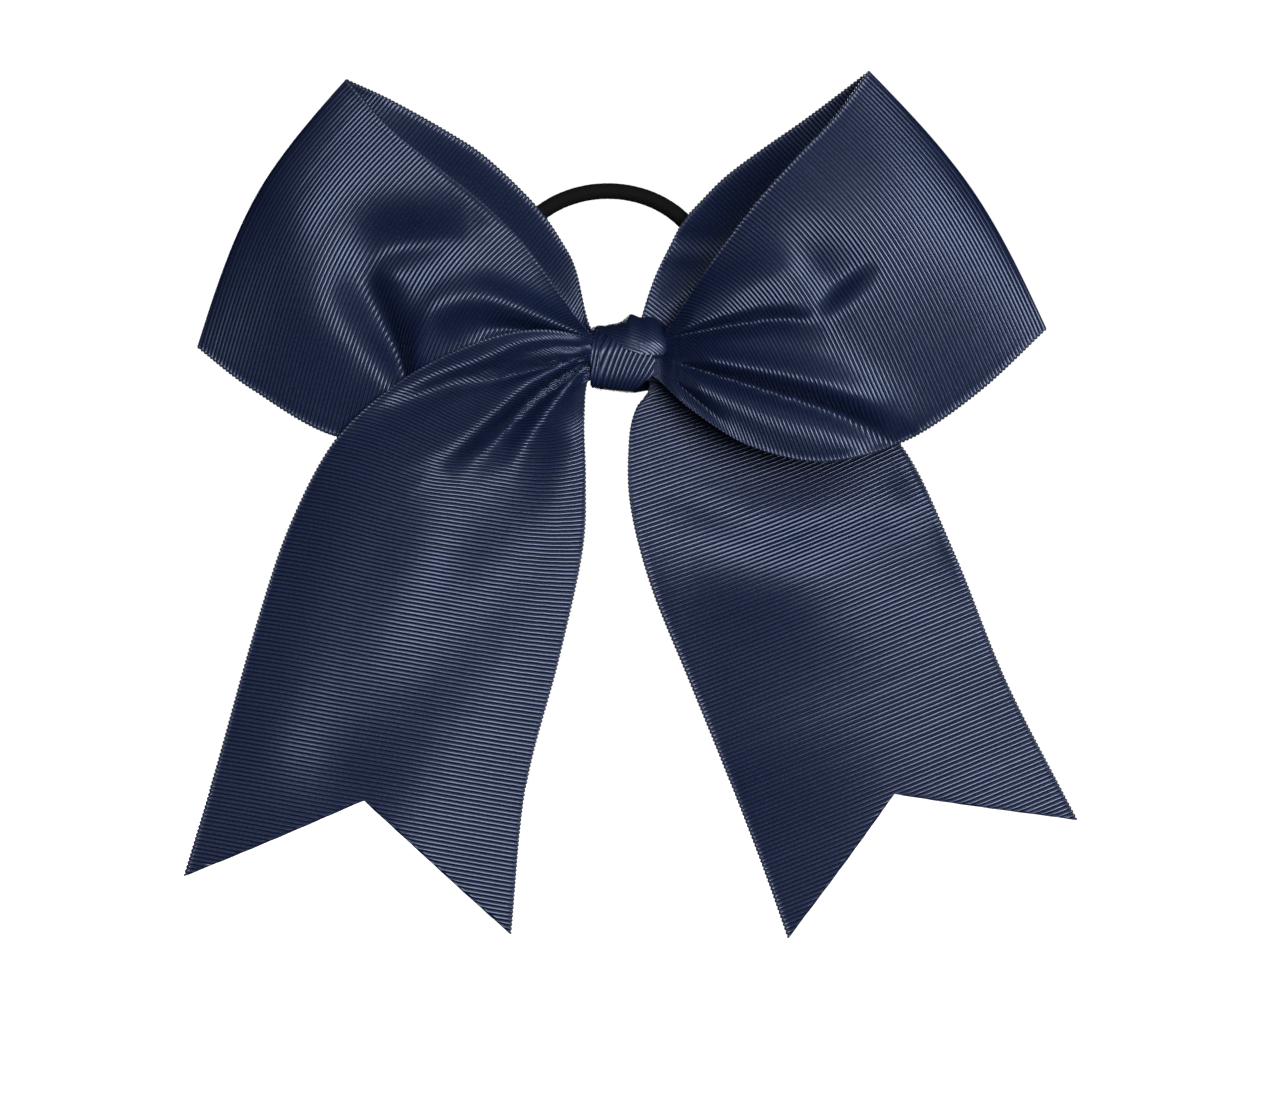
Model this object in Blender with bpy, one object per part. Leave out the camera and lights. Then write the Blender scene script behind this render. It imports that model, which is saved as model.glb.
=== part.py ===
"""Cheer hair bow: one wide ribbon folded into two loops and two tails, gathered at the middle,
bound with thread, covered by a narrow knot ribbon, and carried on a round hair elastic.

Frame: the origin is on the elastic's axis where the knot ribbon holds it. +Z is up as worn,
-Y is the front of the bow, and +X is to the right when the front is looked at.
Lengths are written in millimetres and turned into metres when a mesh is made.
"""

import math

import bmesh
import bpy
import numpy as np

MM = 0.001
GAP = 0.3

# The wide ribbon.
RIBBON_THICK = 0.6
NOTCH_LEFT = 24.3
NOTCH_RIGHT = 21.5
CELLS_ALONG = 16
CELLS_ACROSS = 10

# The gathered middle, where the ribbon passes three times.
GATHER_Y = -6.7
GATHER_HALF_LENGTH = 8.1
WAIST_HALF = (3.4, 5.4)
GATHER_END_HALF = (4.2, 6.4)
# Shares of the half length, and how far the bundle has flared there from waist to end.
GATHER_STATIONS = ((-1, 1), (-0.6, 0.45), (-0.33, 0), (0.33, 0), (0.6, 0.45), (1, 1))
THREAD_RADIUS = 0.35
THREAD_TURNS = 4
THREAD_PITCH = 1.0

# The knot ribbon, which wraps the gathered middle and the elastic.
KNOT_HALF_WIDTH = 8.4
KNOT_FRONT = -13.2
KNOT_BACK = 3.4
KNOT_HALF_HEIGHT = 8.3
KNOT_WALL = 1.3
KNOT_CORNER = 4.6
SEAM_HEIGHT = 1.3
SEAM_SLOPE = -0.48
LOWER_RIGHT_EDGE = 6.3
LOWER_CORNER_HEIGHT = -4.6
LOWER_FOOT_EDGE = 0.0
SIDE_CUT = -6.0
LAP_SIZE = (13.0, 0.8, 9.0)
LAP_HEIGHT = 1.5
LAP_EDGE_ROUND = 0.15
GLUE_RADIUS = 1.6
# The bead's width, depth and height as shares of that radius.
GLUE_SHARES = (1.5, 0.35, 0.7)
GLUE_X = 0.6

# The hair elastic: a knitted cover over a rubber core.
COVER_RADIUS = 1.8
COVER_BORE = 1.3
CORE_RADIUS = 1.0
LOOP_CENTRE_X = -4.5
LOOP_HALF_WIDTH = 22.7
LOOP_HALF_HEIGHT = 20.6
LOOP_LEAN = math.radians(20)
JOIN_HALF_LENGTH = 4.0
TUNNEL_LEFT_END = 10.5
TUNNEL_RIGHT_END = 9.0
ARC_START = 235
ARC_END = -40
ARC_STEP = 19
SPLIT_HEIGHT = 26.0
ELASTIC_SIDES = 10

# Joint axes.
LEFT_TAIL_AXIS = (-8.9, -11.5, 6.5)
RIGHT_TAIL_AXIS = (8.9, -3.2, 4.5)
ELASTIC_AXIS = (0, 0, 0)

NAVY = (0.0130, 0.0190, 0.0510, 1.0)
NAVY_THREAD = (0.0090, 0.0120, 0.0320, 1.0)
BLACK = (0.0050, 0.0050, 0.0055, 1.0)
RUBBER = (0.0200, 0.0190, 0.0180, 1.0)
GLUE = (0.7500, 0.7300, 0.6500, 1.0)

# Each layer of ribbon is three lines from its outer end to the gather: one selvage, the middle
# and the other selvage.
LEFT_TAIL = (
    [(-100.6, -6, -117.9), (-92.9, -8, -92.5), (-83.9, -11, -61.3), (-75.8, -14, -37.9),
     (-64.9, -17, -18.3), (-49.6, -19, -5.2), (-33.1, -19, 2.9), (-20, -16, 5.6), (-8.9, -11.6, 4)],
    [(-63.4, -10, -124.5), (-54, -13, -84), (-43, -17, -47), (-30, -19, -20), (-18, -16, -6),
     (-8.9, -11.4, -1)],
    [(-26.2, -6, -131.2), (-22.8, -8, -97.9), (-15.3, -10, -68.8), (-9.9, -12, -44),
     (-9.2, -13, -28), (-9.6, -12.5, -15), (-8.9, -11.4, -6)],
)
RIGHT_TAIL = (
    [(36.5, -1, -132.5), (30.7, -1, -116.1), (22.8, 0, -95.6), (14.2, 0, -74.4),
     (5.3, 0, -52.3), (0.6, -0.5, -34.1), (0.4, -1.5, -20), (3, -2.6, -12.6), (6.6, -3, -10.2),
     (8.9, -3.2, -5.4)],
    [(69.5, -3, -119), (54, -4, -84), (42, -1, -52), (33, 3, -28), (22, 1.2, -12), (8.9, -3.2, -1)],
    [(102.6, -1, -105.4), (87, -1, -75.1), (75.1, 2, -45.6), (63.3, 5, -20.7), (48, 6, -8),
     (30, 3.4, 0), (18, -0.6, 2.6), (8.9, -3.2, 3.4)],
)
LEFT_LOOP_FRONT = (
    [(-63.5, -7.6, 62.8), (-53.7, -12, 51.6), (-41.3, -16, 41.3), (-32, -17, 33.8),
     (-22.7, -15.5, 24.5), (-15.3, -12.5, 14), (-8.9, -8.8, 5.3)],
    [(-83.9, -8, 35.6), (-70, -14.5, 26), (-54, -15, 16), (-36, -15.5, 7), (-20, -12.5, 2),
     (-8.9, -8.8, 0)],
    [(-97.4, -7.6, 1.8), (-84.6, -10, -7.9), (-65.4, -12.5, -18.5), (-45, -13.5, -18),
     (-25, -12, -12), (-8.9, -8.8, -5.5)],
)
LEFT_LOOP_BACK = (
    [(-63.5, -5.6, 62.8), (-53.7, -1, 58.9), (-41.3, 1.5, 52.3), (-32, 1.5, 46.1),
     (-20.7, 0, 35), (-14.7, -1.5, 26.4), (-11.5, -3, 19.6), (-8.9, -4.6, 5.8)],
    [(-83.9, -5.6, 35.6), (-70, 0.5, 26), (-54, 2.5, 17), (-38, 0.5, 9), (-22, -2.8, 3),
     (-8.9, -4.6, 0)],
    [(-97.4, -5.6, 1.8), (-84.6, -1, -7.9), (-65.4, 3, -18.5), (-45, 2.5, -18), (-25, -2, -11),
     (-8.9, -4.6, -5.5)],
)
RIGHT_LOOP_FRONT = (
    [(54.6, -9.6, 64.5), (46.7, -14, 53.7), (37.7, -18, 44), (30.8, -19, 36.3), (23.9, -18, 27.4),
     (16.9, -15.5, 17.7), (8.9, -11, 5.3)],
    [(77.5, -10, 37.5), (62, -17, 26), (42, -20, 12), (24, -17, 4), (8.9, -11, 0)],
    [(94.9, -9.6, 5.9), (79.2, -13, -8.6), (62.6, -16, -19.6), (44.6, -19, -24.4),
     (28.1, -18, -21), (15.6, -14.5, -13.3), (8.9, -11, -6)],
)
RIGHT_LOOP_BACK = (
    [(54.6, -7.6, 64.5), (41.2, -2, 55), (30.8, -1, 48), (22.6, -1, 41.9), (17, -1.5, 36.3),
     (12.9, -2.5, 31.6), (9.8, -4, 25.3), (9, -5.5, 16), (8.9, -7, 7)],
    [(77.5, -7.6, 37.5), (60, -0.5, 25), (40, 0, 13), (24, -3, 6), (8.9, -6.9, 1)],
    [(94.9, -7.6, 5.9), (79, -2, -7.6), (62, 1, -16), (44, 0.5, -17), (28, -3, -13),
     (8.9, -6.9, -4.6)],
)


def clear_scene():
    for obj in list(bpy.data.objects):
        bpy.data.objects.remove(obj)


def make_material(name, colour, roughness):
    material = bpy.data.materials.new(name)
    material.use_nodes = True
    shader = material.node_tree.nodes["Principled BSDF"]
    shader.inputs["Base Color"].default_value = colour
    shader.inputs["Roughness"].default_value = roughness
    return material


def add_object(name, mesh, material, parent=None):
    obj = bpy.data.objects.new(name, mesh)
    bpy.context.scene.collection.objects.link(obj)
    obj.data.materials.append(material)
    if parent is not None:
        obj.parent = parent
        obj.matrix_parent_inverse = parent.matrix_world.inverted()
    return obj


def add_joint_empty(name, place_mm, parent=None):
    """An empty on a joint's axis, which the moving pieces are parented to."""
    empty = bpy.data.objects.new(name, None)
    bpy.context.scene.collection.objects.link(empty)
    empty.location = [c * MM for c in place_mm]
    bpy.context.view_layer.update()
    if parent is not None:
        empty.parent = parent
        empty.matrix_parent_inverse = parent.matrix_world.inverted()
    bpy.context.view_layer.update()
    return empty


def mesh_from_bmesh(name, bm):
    bmesh.ops.recalc_face_normals(bm, faces=bm.faces[:])
    mesh = bpy.data.meshes.new(name)
    bm.to_mesh(mesh)
    bm.free()
    mesh.shade_smooth()
    mesh.set_sharp_from_angle(angle=math.radians(40))
    return mesh


def catmull_rom(points, at):
    """The curve through evenly spaced points, read at a share from 0 to 1."""
    last = len(points) - 1
    place = min(max(at, 0.0), 1.0) * last
    i = min(int(place), last - 1)
    f = place - i
    p1, p2 = points[i], points[i + 1]
    p0 = points[i - 1] if i > 0 else 2 * p1 - p2
    p3 = points[i + 2] if i + 2 <= last else 2 * p2 - p1
    return 0.5 * (
        2 * p1
        + (p2 - p0) * f
        + (2 * p0 - 5 * p1 + 4 * p2 - p3) * f * f
        + (3 * p1 - p0 - 3 * p2 + p3) * f ** 3
    )


def even_curve(points, count, start=0.0):
    """count points, even in length, on the smooth curve through points after its first start mm."""
    controls = [np.array(p, float) for p in points]
    fine = np.array([catmull_rom(controls, i / 400) for i in range(401)])
    length = np.concatenate([[0], np.cumsum(np.linalg.norm(np.diff(fine, axis=0), axis=1))])
    wanted = np.linspace(start, length[-1], count)
    return np.stack([np.interp(wanted, length, fine[:, k]) for k in range(3)], axis=1)


def ribbon_grid(lines, notch):
    """Points of one layer of ribbon, as rows from the outer end to the gather."""
    across = np.linspace(0, 1, CELLS_ACROSS + 1)
    # The lines are read whole first, so that the notch can be cut along each strip of the layer.
    whole = [even_curve(line, CELLS_ALONG * 2 + 1) for line in lines]
    grid = []
    for t in across:
        strip = [catmull_rom([line[i] for line in whole], t) for i in range(len(whole[0]))]
        cut = notch * (1 - abs(2 * t - 1))
        grid.append(even_curve(strip, CELLS_ALONG + 1, start=cut))
    return np.swapaxes(np.array(grid), 0, 1)


def ribbon_solid(name, lines, material, notch=0.0, parent=None):
    """A layer of ribbon as a closed sheet of even thickness."""
    grid = ribbon_grid(lines, notch)
    along = np.gradient(grid, axis=0)
    across = np.gradient(grid, axis=1)
    normal = np.cross(along, across)
    normal /= np.linalg.norm(normal, axis=2, keepdims=True)
    bm = bmesh.new()
    sides = []
    for side in (-0.5, 0.5):
        points = (grid + normal * (side * RIBBON_THICK)) * MM
        sides.append([[bm.verts.new(p) for p in row] for row in points])
    rows, columns = grid.shape[:2]
    for vertices in sides:
        for i in range(rows - 1):
            for j in range(columns - 1):
                bm.faces.new((vertices[i][j], vertices[i + 1][j],
                              vertices[i + 1][j + 1], vertices[i][j + 1]))
    rim = [(i, 0) for i in range(rows)]
    rim += [(rows - 1, j) for j in range(1, columns)]
    rim += [(i, columns - 1) for i in range(rows - 2, -1, -1)]
    rim += [(0, j) for j in range(columns - 2, 0, -1)]
    for (i, j), (k, m) in zip(rim, rim[1:] + rim[:1]):
        bm.faces.new((sides[0][i][j], sides[0][k][m], sides[1][k][m], sides[1][i][j]))
    return add_object(name, mesh_from_bmesh(name, bm), material, parent)


def loft(name, rings, material, parent=None):
    """A closed solid through rings of points, with a face over each end."""
    bm = bmesh.new()
    made = [[bm.verts.new([c * MM for c in p]) for p in ring] for ring in rings]
    for first, second in zip(made, made[1:]):
        for j in range(len(first)):
            k = (j + 1) % len(first)
            bm.faces.new((first[j], first[k], second[k], second[j]))
    bm.faces.new(made[0])
    bm.faces.new(made[-1])
    return add_object(name, mesh_from_bmesh(name, bm), material, parent)


def gathered_centre(material):
    """The crushed middle of the ribbon: a bundle with a waist where the thread binds it."""
    sides = 20
    rings = []
    for place, flare in GATHER_STATIONS:
        half_y = WAIST_HALF[0] + (GATHER_END_HALF[0] - WAIST_HALF[0]) * flare
        half_z = WAIST_HALF[1] + (GATHER_END_HALF[1] - WAIST_HALF[1]) * flare
        ring = []
        for j in range(sides):
            angle = 2 * math.pi * j / sides
            ring.append((place * GATHER_HALF_LENGTH,
                         GATHER_Y + half_y * math.cos(angle),
                         half_z * math.sin(angle)))
        rings.append(ring)
    return loft("gathered_centre", rings, material)


def binding_thread(material):
    """Turns of thread drawn tight round the waist."""
    curve = bpy.data.curves.new("binding_thread", "CURVE")
    curve.dimensions = "3D"
    curve.bevel_depth = THREAD_RADIUS * MM
    curve.bevel_resolution = 1
    curve.use_fill_caps = True
    per_turn = 18
    count = THREAD_TURNS * per_turn + 1
    spline = curve.splines.new("POLY")
    spline.points.add(count - 1)
    lift = THREAD_RADIUS + GAP
    for i in range(count):
        angle = 2 * math.pi * i / per_turn
        x = (i / (count - 1) - 0.5) * THREAD_TURNS * THREAD_PITCH
        y = GATHER_Y + (WAIST_HALF[0] + lift) * math.cos(angle)
        z = (WAIST_HALF[1] + lift) * math.sin(angle)
        spline.points[i].co = (x * MM, y * MM, z * MM, 1)
    return add_object("binding_thread", curve, material)


def knot_profile(inset):
    """The knot ribbon's path round the bundle, in Y and Z, as a rectangle with round corners."""
    front, back = KNOT_FRONT + inset, KNOT_BACK - inset
    half = KNOT_HALF_HEIGHT - inset
    radius = KNOT_CORNER - inset
    points = []
    corners = ((back - radius, half - radius, 0), (front + radius, half - radius, 90),
               (front + radius, radius - half, 180), (back - radius, radius - half, 270))
    for y, z, start in corners:
        for step in range(6):
            angle = math.radians(start + step * 18)
            points.append((y + radius * math.cos(angle), z + radius * math.sin(angle)))
    return points


def cutter_prism(name, outline_xz, y_range):
    """A hidden prism along Y, used to cut the knot into its bands."""
    bm = bmesh.new()
    near = [bm.verts.new((x * MM, y_range[0] * MM, z * MM)) for x, z in outline_xz]
    far = [bm.verts.new((x * MM, y_range[1] * MM, z * MM)) for x, z in outline_xz]
    bm.faces.new(near)
    bm.faces.new(far)
    for j in range(len(near)):
        k = (j + 1) % len(near)
        bm.faces.new((near[j], near[k], far[k], far[j]))
    bmesh.ops.recalc_face_normals(bm, faces=bm.faces[:])
    mesh = bpy.data.meshes.new(name)
    bm.to_mesh(mesh)
    bm.free()
    obj = bpy.data.objects.new(name, mesh)
    bpy.context.scene.collection.objects.link(obj)
    obj.hide_render = True
    obj.display_type = "WIRE"
    return obj


def knot_band(name, cutter, material):
    """The part of the knot ribbon's wrap that lies inside a cutter."""
    outer, inner = knot_profile(0), knot_profile(KNOT_WALL)
    bm = bmesh.new()
    rings = []
    for x, profile in ((-1, outer), (1, outer), (1, inner), (-1, inner)):
        rings.append([bm.verts.new((x * KNOT_HALF_WIDTH * MM, y * MM, z * MM)) for y, z in profile])
    for first, second in zip(rings, rings[1:] + rings[:1]):
        for j in range(len(first)):
            k = (j + 1) % len(first)
            bm.faces.new((first[j], first[k], second[k], second[j]))
    obj = add_object(name, mesh_from_bmesh(name, bm), material)
    cut = obj.modifiers.new("band", "BOOLEAN")
    cut.operation = "INTERSECT"
    cut.object = cutter
    return obj


def knot_bands(material):
    """Upper and lower bands meet at a slanting seam in front; one band passes behind."""
    wide, high = 12.0, 12.0
    left_seam = SEAM_HEIGHT - SEAM_SLOPE * wide
    right_seam = SEAM_HEIGHT + SEAM_SLOPE * wide
    upper = cutter_prism("cut_upper", [(-wide, left_seam + GAP / 2), (wide, right_seam + GAP / 2),
                                       (wide, high), (-wide, high)],
                         (KNOT_FRONT - 2, SIDE_CUT - GAP / 2))
    lower_right_seam = SEAM_HEIGHT + SEAM_SLOPE * LOWER_RIGHT_EDGE
    lower = cutter_prism("cut_lower", [(-wide, -high), (LOWER_FOOT_EDGE, -high),
                                       (LOWER_RIGHT_EDGE, LOWER_CORNER_HEIGHT),
                                       (LOWER_RIGHT_EDGE, lower_right_seam - GAP / 2),
                                       (-wide, left_seam - GAP / 2)],
                         (KNOT_FRONT - 2, SIDE_CUT - GAP / 2))
    behind = cutter_prism("cut_behind", [(-wide, -high), (wide, -high), (wide, high), (-wide, high)],
                          (SIDE_CUT + GAP / 2, KNOT_BACK + 2))
    knot_band("knot_upper_band", upper, material)
    knot_band("knot_lower_band", lower, material)
    knot_band("knot_back_band", behind, material)


def knot_end_lap(material):
    """The knot ribbon's free end, laid flat over the back of the wrap."""
    mesh = bpy.data.meshes.new("knot_end_lap")
    bm = bmesh.new()
    bmesh.ops.create_cube(bm, size=1)
    bmesh.ops.scale(bm, vec=[c * MM for c in LAP_SIZE], verts=bm.verts)
    bm.to_mesh(mesh)
    bm.free()
    obj = add_object("knot_end_lap", mesh, material)
    obj.location = (0, (KNOT_BACK + GAP + LAP_SIZE[1] / 2) * MM, LAP_HEIGHT * MM)
    bevel = obj.modifiers.new("edge", "BEVEL")
    bevel.width = LAP_EDGE_ROUND * MM
    bevel.segments = 1
    return obj


def glue_dab(material):
    """A bead of glue squeezed out under the lap's free edge."""
    mesh = bpy.data.meshes.new("glue_dab")
    bm = bmesh.new()
    bmesh.ops.create_uvsphere(bm, u_segments=12, v_segments=8, radius=GLUE_RADIUS * MM)
    bmesh.ops.scale(bm, vec=GLUE_SHARES, verts=bm.verts)
    bm.to_mesh(mesh)
    bm.free()
    mesh.shade_smooth()
    obj = add_object("glue_dab", mesh, material)
    lap_edge = LAP_HEIGHT - LAP_SIZE[2] / 2
    obj.location = (GLUE_X * MM, (KNOT_BACK + GAP + GLUE_SHARES[1] * GLUE_RADIUS) * MM,
                    (lap_edge - GAP - GLUE_SHARES[2] * GLUE_RADIUS) * MM)
    return obj


def elastic_route():
    """The elastic's centreline in its own leaning plane, from the join, up the left and round."""
    left = [(-JOIN_HALF_LENGTH - GAP, 0), (-TUNNEL_LEFT_END, 0.2)]
    right = [(TUNNEL_RIGHT_END, 0.4), (JOIN_HALF_LENGTH + GAP, 0)]
    arc = []
    for degrees in range(ARC_START, ARC_END, -ARC_STEP):
        angle = math.radians(degrees)
        arc.append((LOOP_CENTRE_X + LOOP_HALF_WIDTH * math.cos(angle),
                    LOOP_HALF_HEIGHT * (1 + math.sin(angle))))
    flat = left + arc + right
    lean = (math.sin(LOOP_LEAN), math.cos(LOOP_LEAN))
    return [(x, up * lean[0], up * lean[1]) for x, up in flat]


def swept_rings(points, radius, sides):
    """Rings round a path, square to it and without twist."""
    path = np.array(points)
    tangent = np.gradient(path, axis=0)
    tangent /= np.linalg.norm(tangent, axis=1, keepdims=True)
    # The whole path lies in one leaning plane, so that plane's normal serves every ring.
    flat = np.array((0.0, math.cos(LOOP_LEAN), -math.sin(LOOP_LEAN)))
    rings = []
    for place, forward in zip(path, tangent):
        side = np.cross(forward, flat)
        ring = []
        for j in range(sides):
            angle = 2 * math.pi * j / sides
            ring.append(place + radius * (math.cos(angle) * side + math.sin(angle) * flat))
        rings.append(ring)
    return rings


def cover_tube(name, points, material, parent):
    """A knitted tube, open at both ends, with the core's space inside."""
    outer = swept_rings(points, COVER_RADIUS, ELASTIC_SIDES)
    inner = swept_rings(points, COVER_BORE, ELASTIC_SIDES)
    bm = bmesh.new()
    shells = [[[bm.verts.new(p * MM) for p in ring] for ring in shell] for shell in (outer, inner)]
    for shell in shells:
        for first, second in zip(shell, shell[1:]):
            for j in range(ELASTIC_SIDES):
                k = (j + 1) % ELASTIC_SIDES
                bm.faces.new((first[j], first[k], second[k], second[j]))
    for end in (0, -1):
        for j in range(ELASTIC_SIDES):
            k = (j + 1) % ELASTIC_SIDES
            bm.faces.new((shells[0][end][j], shells[0][end][k],
                          shells[1][end][k], shells[1][end][j]))
    return add_object(name, mesh_from_bmesh(name, bm), material, parent)


def elastic(cover, core, swing, pull):
    """The join inside the wrap, two sides that stretch and the top that is pulled."""
    route = even_curve(elastic_route(), 61)
    height = route[:, 2] / math.cos(LOOP_LEAN)
    first = int(np.argmax(height > SPLIT_HEIGHT))
    last = len(route) - 1 - int(np.argmax(height[::-1] > SPLIT_HEIGHT))
    stretches = {
        "left": (route[: first + 1], swing),
        "top": (route[first: last + 1], pull),
        "right": (route[last:], swing),
    }
    for name, (path, parent) in stretches.items():
        spaced = even_curve(path, 14)
        for end, neighbour in ((0, 1), (-1, -2)):
            inward = spaced[neighbour] - spaced[end]
            spaced[end] += inward / np.linalg.norm(inward) * GAP / 2
        cover_tube("elastic_cover_" + name, spaced, cover, parent)
        loft("elastic_core_" + name, swept_rings(spaced, CORE_RADIUS, ELASTIC_SIDES), core, parent)
    join = [(x, 0.0, 0.0) for x in (-JOIN_HALF_LENGTH, 0, JOIN_HALF_LENGTH)]
    loft("elastic_join", swept_rings(join, COVER_RADIUS, ELASTIC_SIDES), cover, swing)


def main():
    clear_scene()
    grosgrain = make_material("navy_grosgrain", NAVY, 0.55)
    knot_ribbon = make_material("navy_knot_ribbon", NAVY, 0.5)
    thread = make_material("navy_thread", NAVY_THREAD, 0.6)
    knit = make_material("black_knit", BLACK, 0.8)
    rubber = make_material("elastic_rubber", RUBBER, 0.7)
    glue = make_material("clear_glue", GLUE, 0.3)

    left_lift = add_joint_empty("left_tail_axis", LEFT_TAIL_AXIS)
    right_lift = add_joint_empty("right_tail_axis", RIGHT_TAIL_AXIS)
    swing = add_joint_empty("elastic_swing_axis", ELASTIC_AXIS)
    pull = add_joint_empty("elastic_pull_axis", ELASTIC_AXIS, swing)

    ribbon_solid("left_tail", LEFT_TAIL, grosgrain, NOTCH_LEFT, left_lift)
    ribbon_solid("right_tail", RIGHT_TAIL, grosgrain, NOTCH_RIGHT, right_lift)
    ribbon_solid("left_loop_front", LEFT_LOOP_FRONT, grosgrain)
    ribbon_solid("left_loop_back", LEFT_LOOP_BACK, grosgrain)
    ribbon_solid("right_loop_front", RIGHT_LOOP_FRONT, grosgrain)
    ribbon_solid("right_loop_back", RIGHT_LOOP_BACK, grosgrain)
    gathered_centre(grosgrain)
    binding_thread(thread)
    knot_bands(knot_ribbon)
    knot_end_lap(knot_ribbon)
    glue_dab(glue)
    elastic(knit, rubber, swing, pull)


main()
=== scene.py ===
"""The looks of the cheer hair bow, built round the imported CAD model.

Lengths are in millimetres and are turned into metres when a mesh is made. The frame is the CAD
model's: the origin is on the elastic's axis inside the wrap, +Z is up, -Y is the front.
"""

import math

import bpy
import numpy as np
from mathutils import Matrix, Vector
from mathutils.kdtree import KDTree


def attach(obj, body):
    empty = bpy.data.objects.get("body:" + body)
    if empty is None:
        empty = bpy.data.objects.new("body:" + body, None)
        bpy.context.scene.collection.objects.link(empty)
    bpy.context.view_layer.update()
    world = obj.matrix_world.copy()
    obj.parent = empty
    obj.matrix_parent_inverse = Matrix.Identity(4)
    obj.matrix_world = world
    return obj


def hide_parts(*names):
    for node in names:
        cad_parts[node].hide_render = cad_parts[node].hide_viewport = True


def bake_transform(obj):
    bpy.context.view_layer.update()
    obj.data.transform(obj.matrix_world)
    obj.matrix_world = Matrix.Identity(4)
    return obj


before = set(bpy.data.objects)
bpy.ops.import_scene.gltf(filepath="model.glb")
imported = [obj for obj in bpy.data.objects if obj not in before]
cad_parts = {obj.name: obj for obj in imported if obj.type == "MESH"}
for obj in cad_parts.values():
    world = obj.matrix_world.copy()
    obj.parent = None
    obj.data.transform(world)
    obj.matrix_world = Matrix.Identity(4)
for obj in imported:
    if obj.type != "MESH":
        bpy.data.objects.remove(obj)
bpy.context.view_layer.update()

MM = 0.001

# The wide grosgrain ribbon.
RIBBON_WIDTH = 76.0
RIB_PITCH = 0.955
VALLEY_HALF = 0.05
SHOULDER_HALF = 0.19
CREST_HALF = 0.34
SHOULDER_PLACE = 0.16
ACROSS_STEP = 1.95
NOTCH_LEFT = 24.3
NOTCH_RIGHT = 21.5
SELVAGE_SCALLOP = 0.30
SELVAGE_WIDTH = 0.95
WARP_PITCH = 0.27
LAYER_GAP = 1.0

# The cage that lays each layer out, and how it is relaxed. The last rows are inside the knot and
# stay where the warp lines put them.
CAGE_COLUMNS = 51
CAGE_ROWS = 81
HELD_ROWS = 6
RELAX_ROUNDS = 60
STIFFNESS_ACROSS = 0.2
STIFFNESS_ALONG = 0.3
PULL_HOME = 0.02
MAP_STEP = 0.4
OVERLAP_REACH = 2.5
# How far a loop's face stands out behind its outer fold, and how soon.
FOLD_BULGE = 3.2
FOLD_BULGE_REACH = 4.5

# The knot ribbon and what it covers.
KNOT_MIDDLE_Y = -4.9
KNOT_DEPTH = 8.3
KNOT_SQUARENESS_ABOVE = 2.0
KNOT_SQUARENESS_BELOW = 6.0
KNOT_RIB_PITCH = 1.1
KNOT_HALF_WIDTH = 8.4
KNOT_COLUMNS = 150
KNOT_ROWS = 150
UPPER_BAND_LEFT, UPPER_BAND_RIGHT = -8.1, 9.4
UPPER_BAND_END = 226
LOWER_BAND_LEFT, LOWER_BAND_START = -8.15, 6.4
LOWER_BAND_END = -184
SEAM_OVERLAP = 1.2
# The gathers' front under the knot, and how it falls away beyond the knot's ends.
HELD_FRONT = -11.2
HELD_SLOPE = 0.9
LAP_LOW, LAP_HIGH = (-6.5, 3.7, -3.0), (6.5, 4.5, 6.0)
GATHER_Y = -6.7
GATHER_HALF_LENGTH = 8.1
WAIST_HALF = (3.4, 5.4)
GATHER_END_HALF = (4.2, 6.4)
THREAD_RADIUS = 0.35
THREAD_TURNS = 4
THREAD_PITCH = 1.0
THREAD_TWIST = 14
GLUE_CENTRE = (0.6, 4.23, -4.42)
GLUE_HALF = (2.07, 0.45, 0.945)

# The elastic's oval ring, in a plane that leans back.
COVER_RADIUS = 1.8
CORE_RADIUS = 1.0
LOOP_CENTRE_X = -4.5
LOOP_HALF_WIDTH = 22.7
LOOP_HALF_HEIGHT = 20.6
LOOP_LEAN = math.radians(20)
JOIN_HALF_LENGTH = 4.0
TUNNEL_LEFT_END = 10.5
TUNNEL_RIGHT_END = 9.0
ARC_START, ARC_END, ARC_STEP = 235, -40, -19
BRAID_STRANDS = 12
BRAID_PITCH = 4.2
BRAID_STEP = 0.26
CORE_STEP = 0.8
WRAP_PITCH = 0.42

# The camera and the studio, in metres.
CAMERA_DISTANCE = 1.2
VIEW_WIDTH = 0.2893
CAMERA_PLACE = (0.00327, -CAMERA_DISTANCE - 0.012, -0.04375)
LAMP_TARGET = (0, 0, -0.03)
FLOOR_SIDES = 96
FLOOR_ROWS = 65
FLOOR_CENTRE = 0.00001

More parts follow.
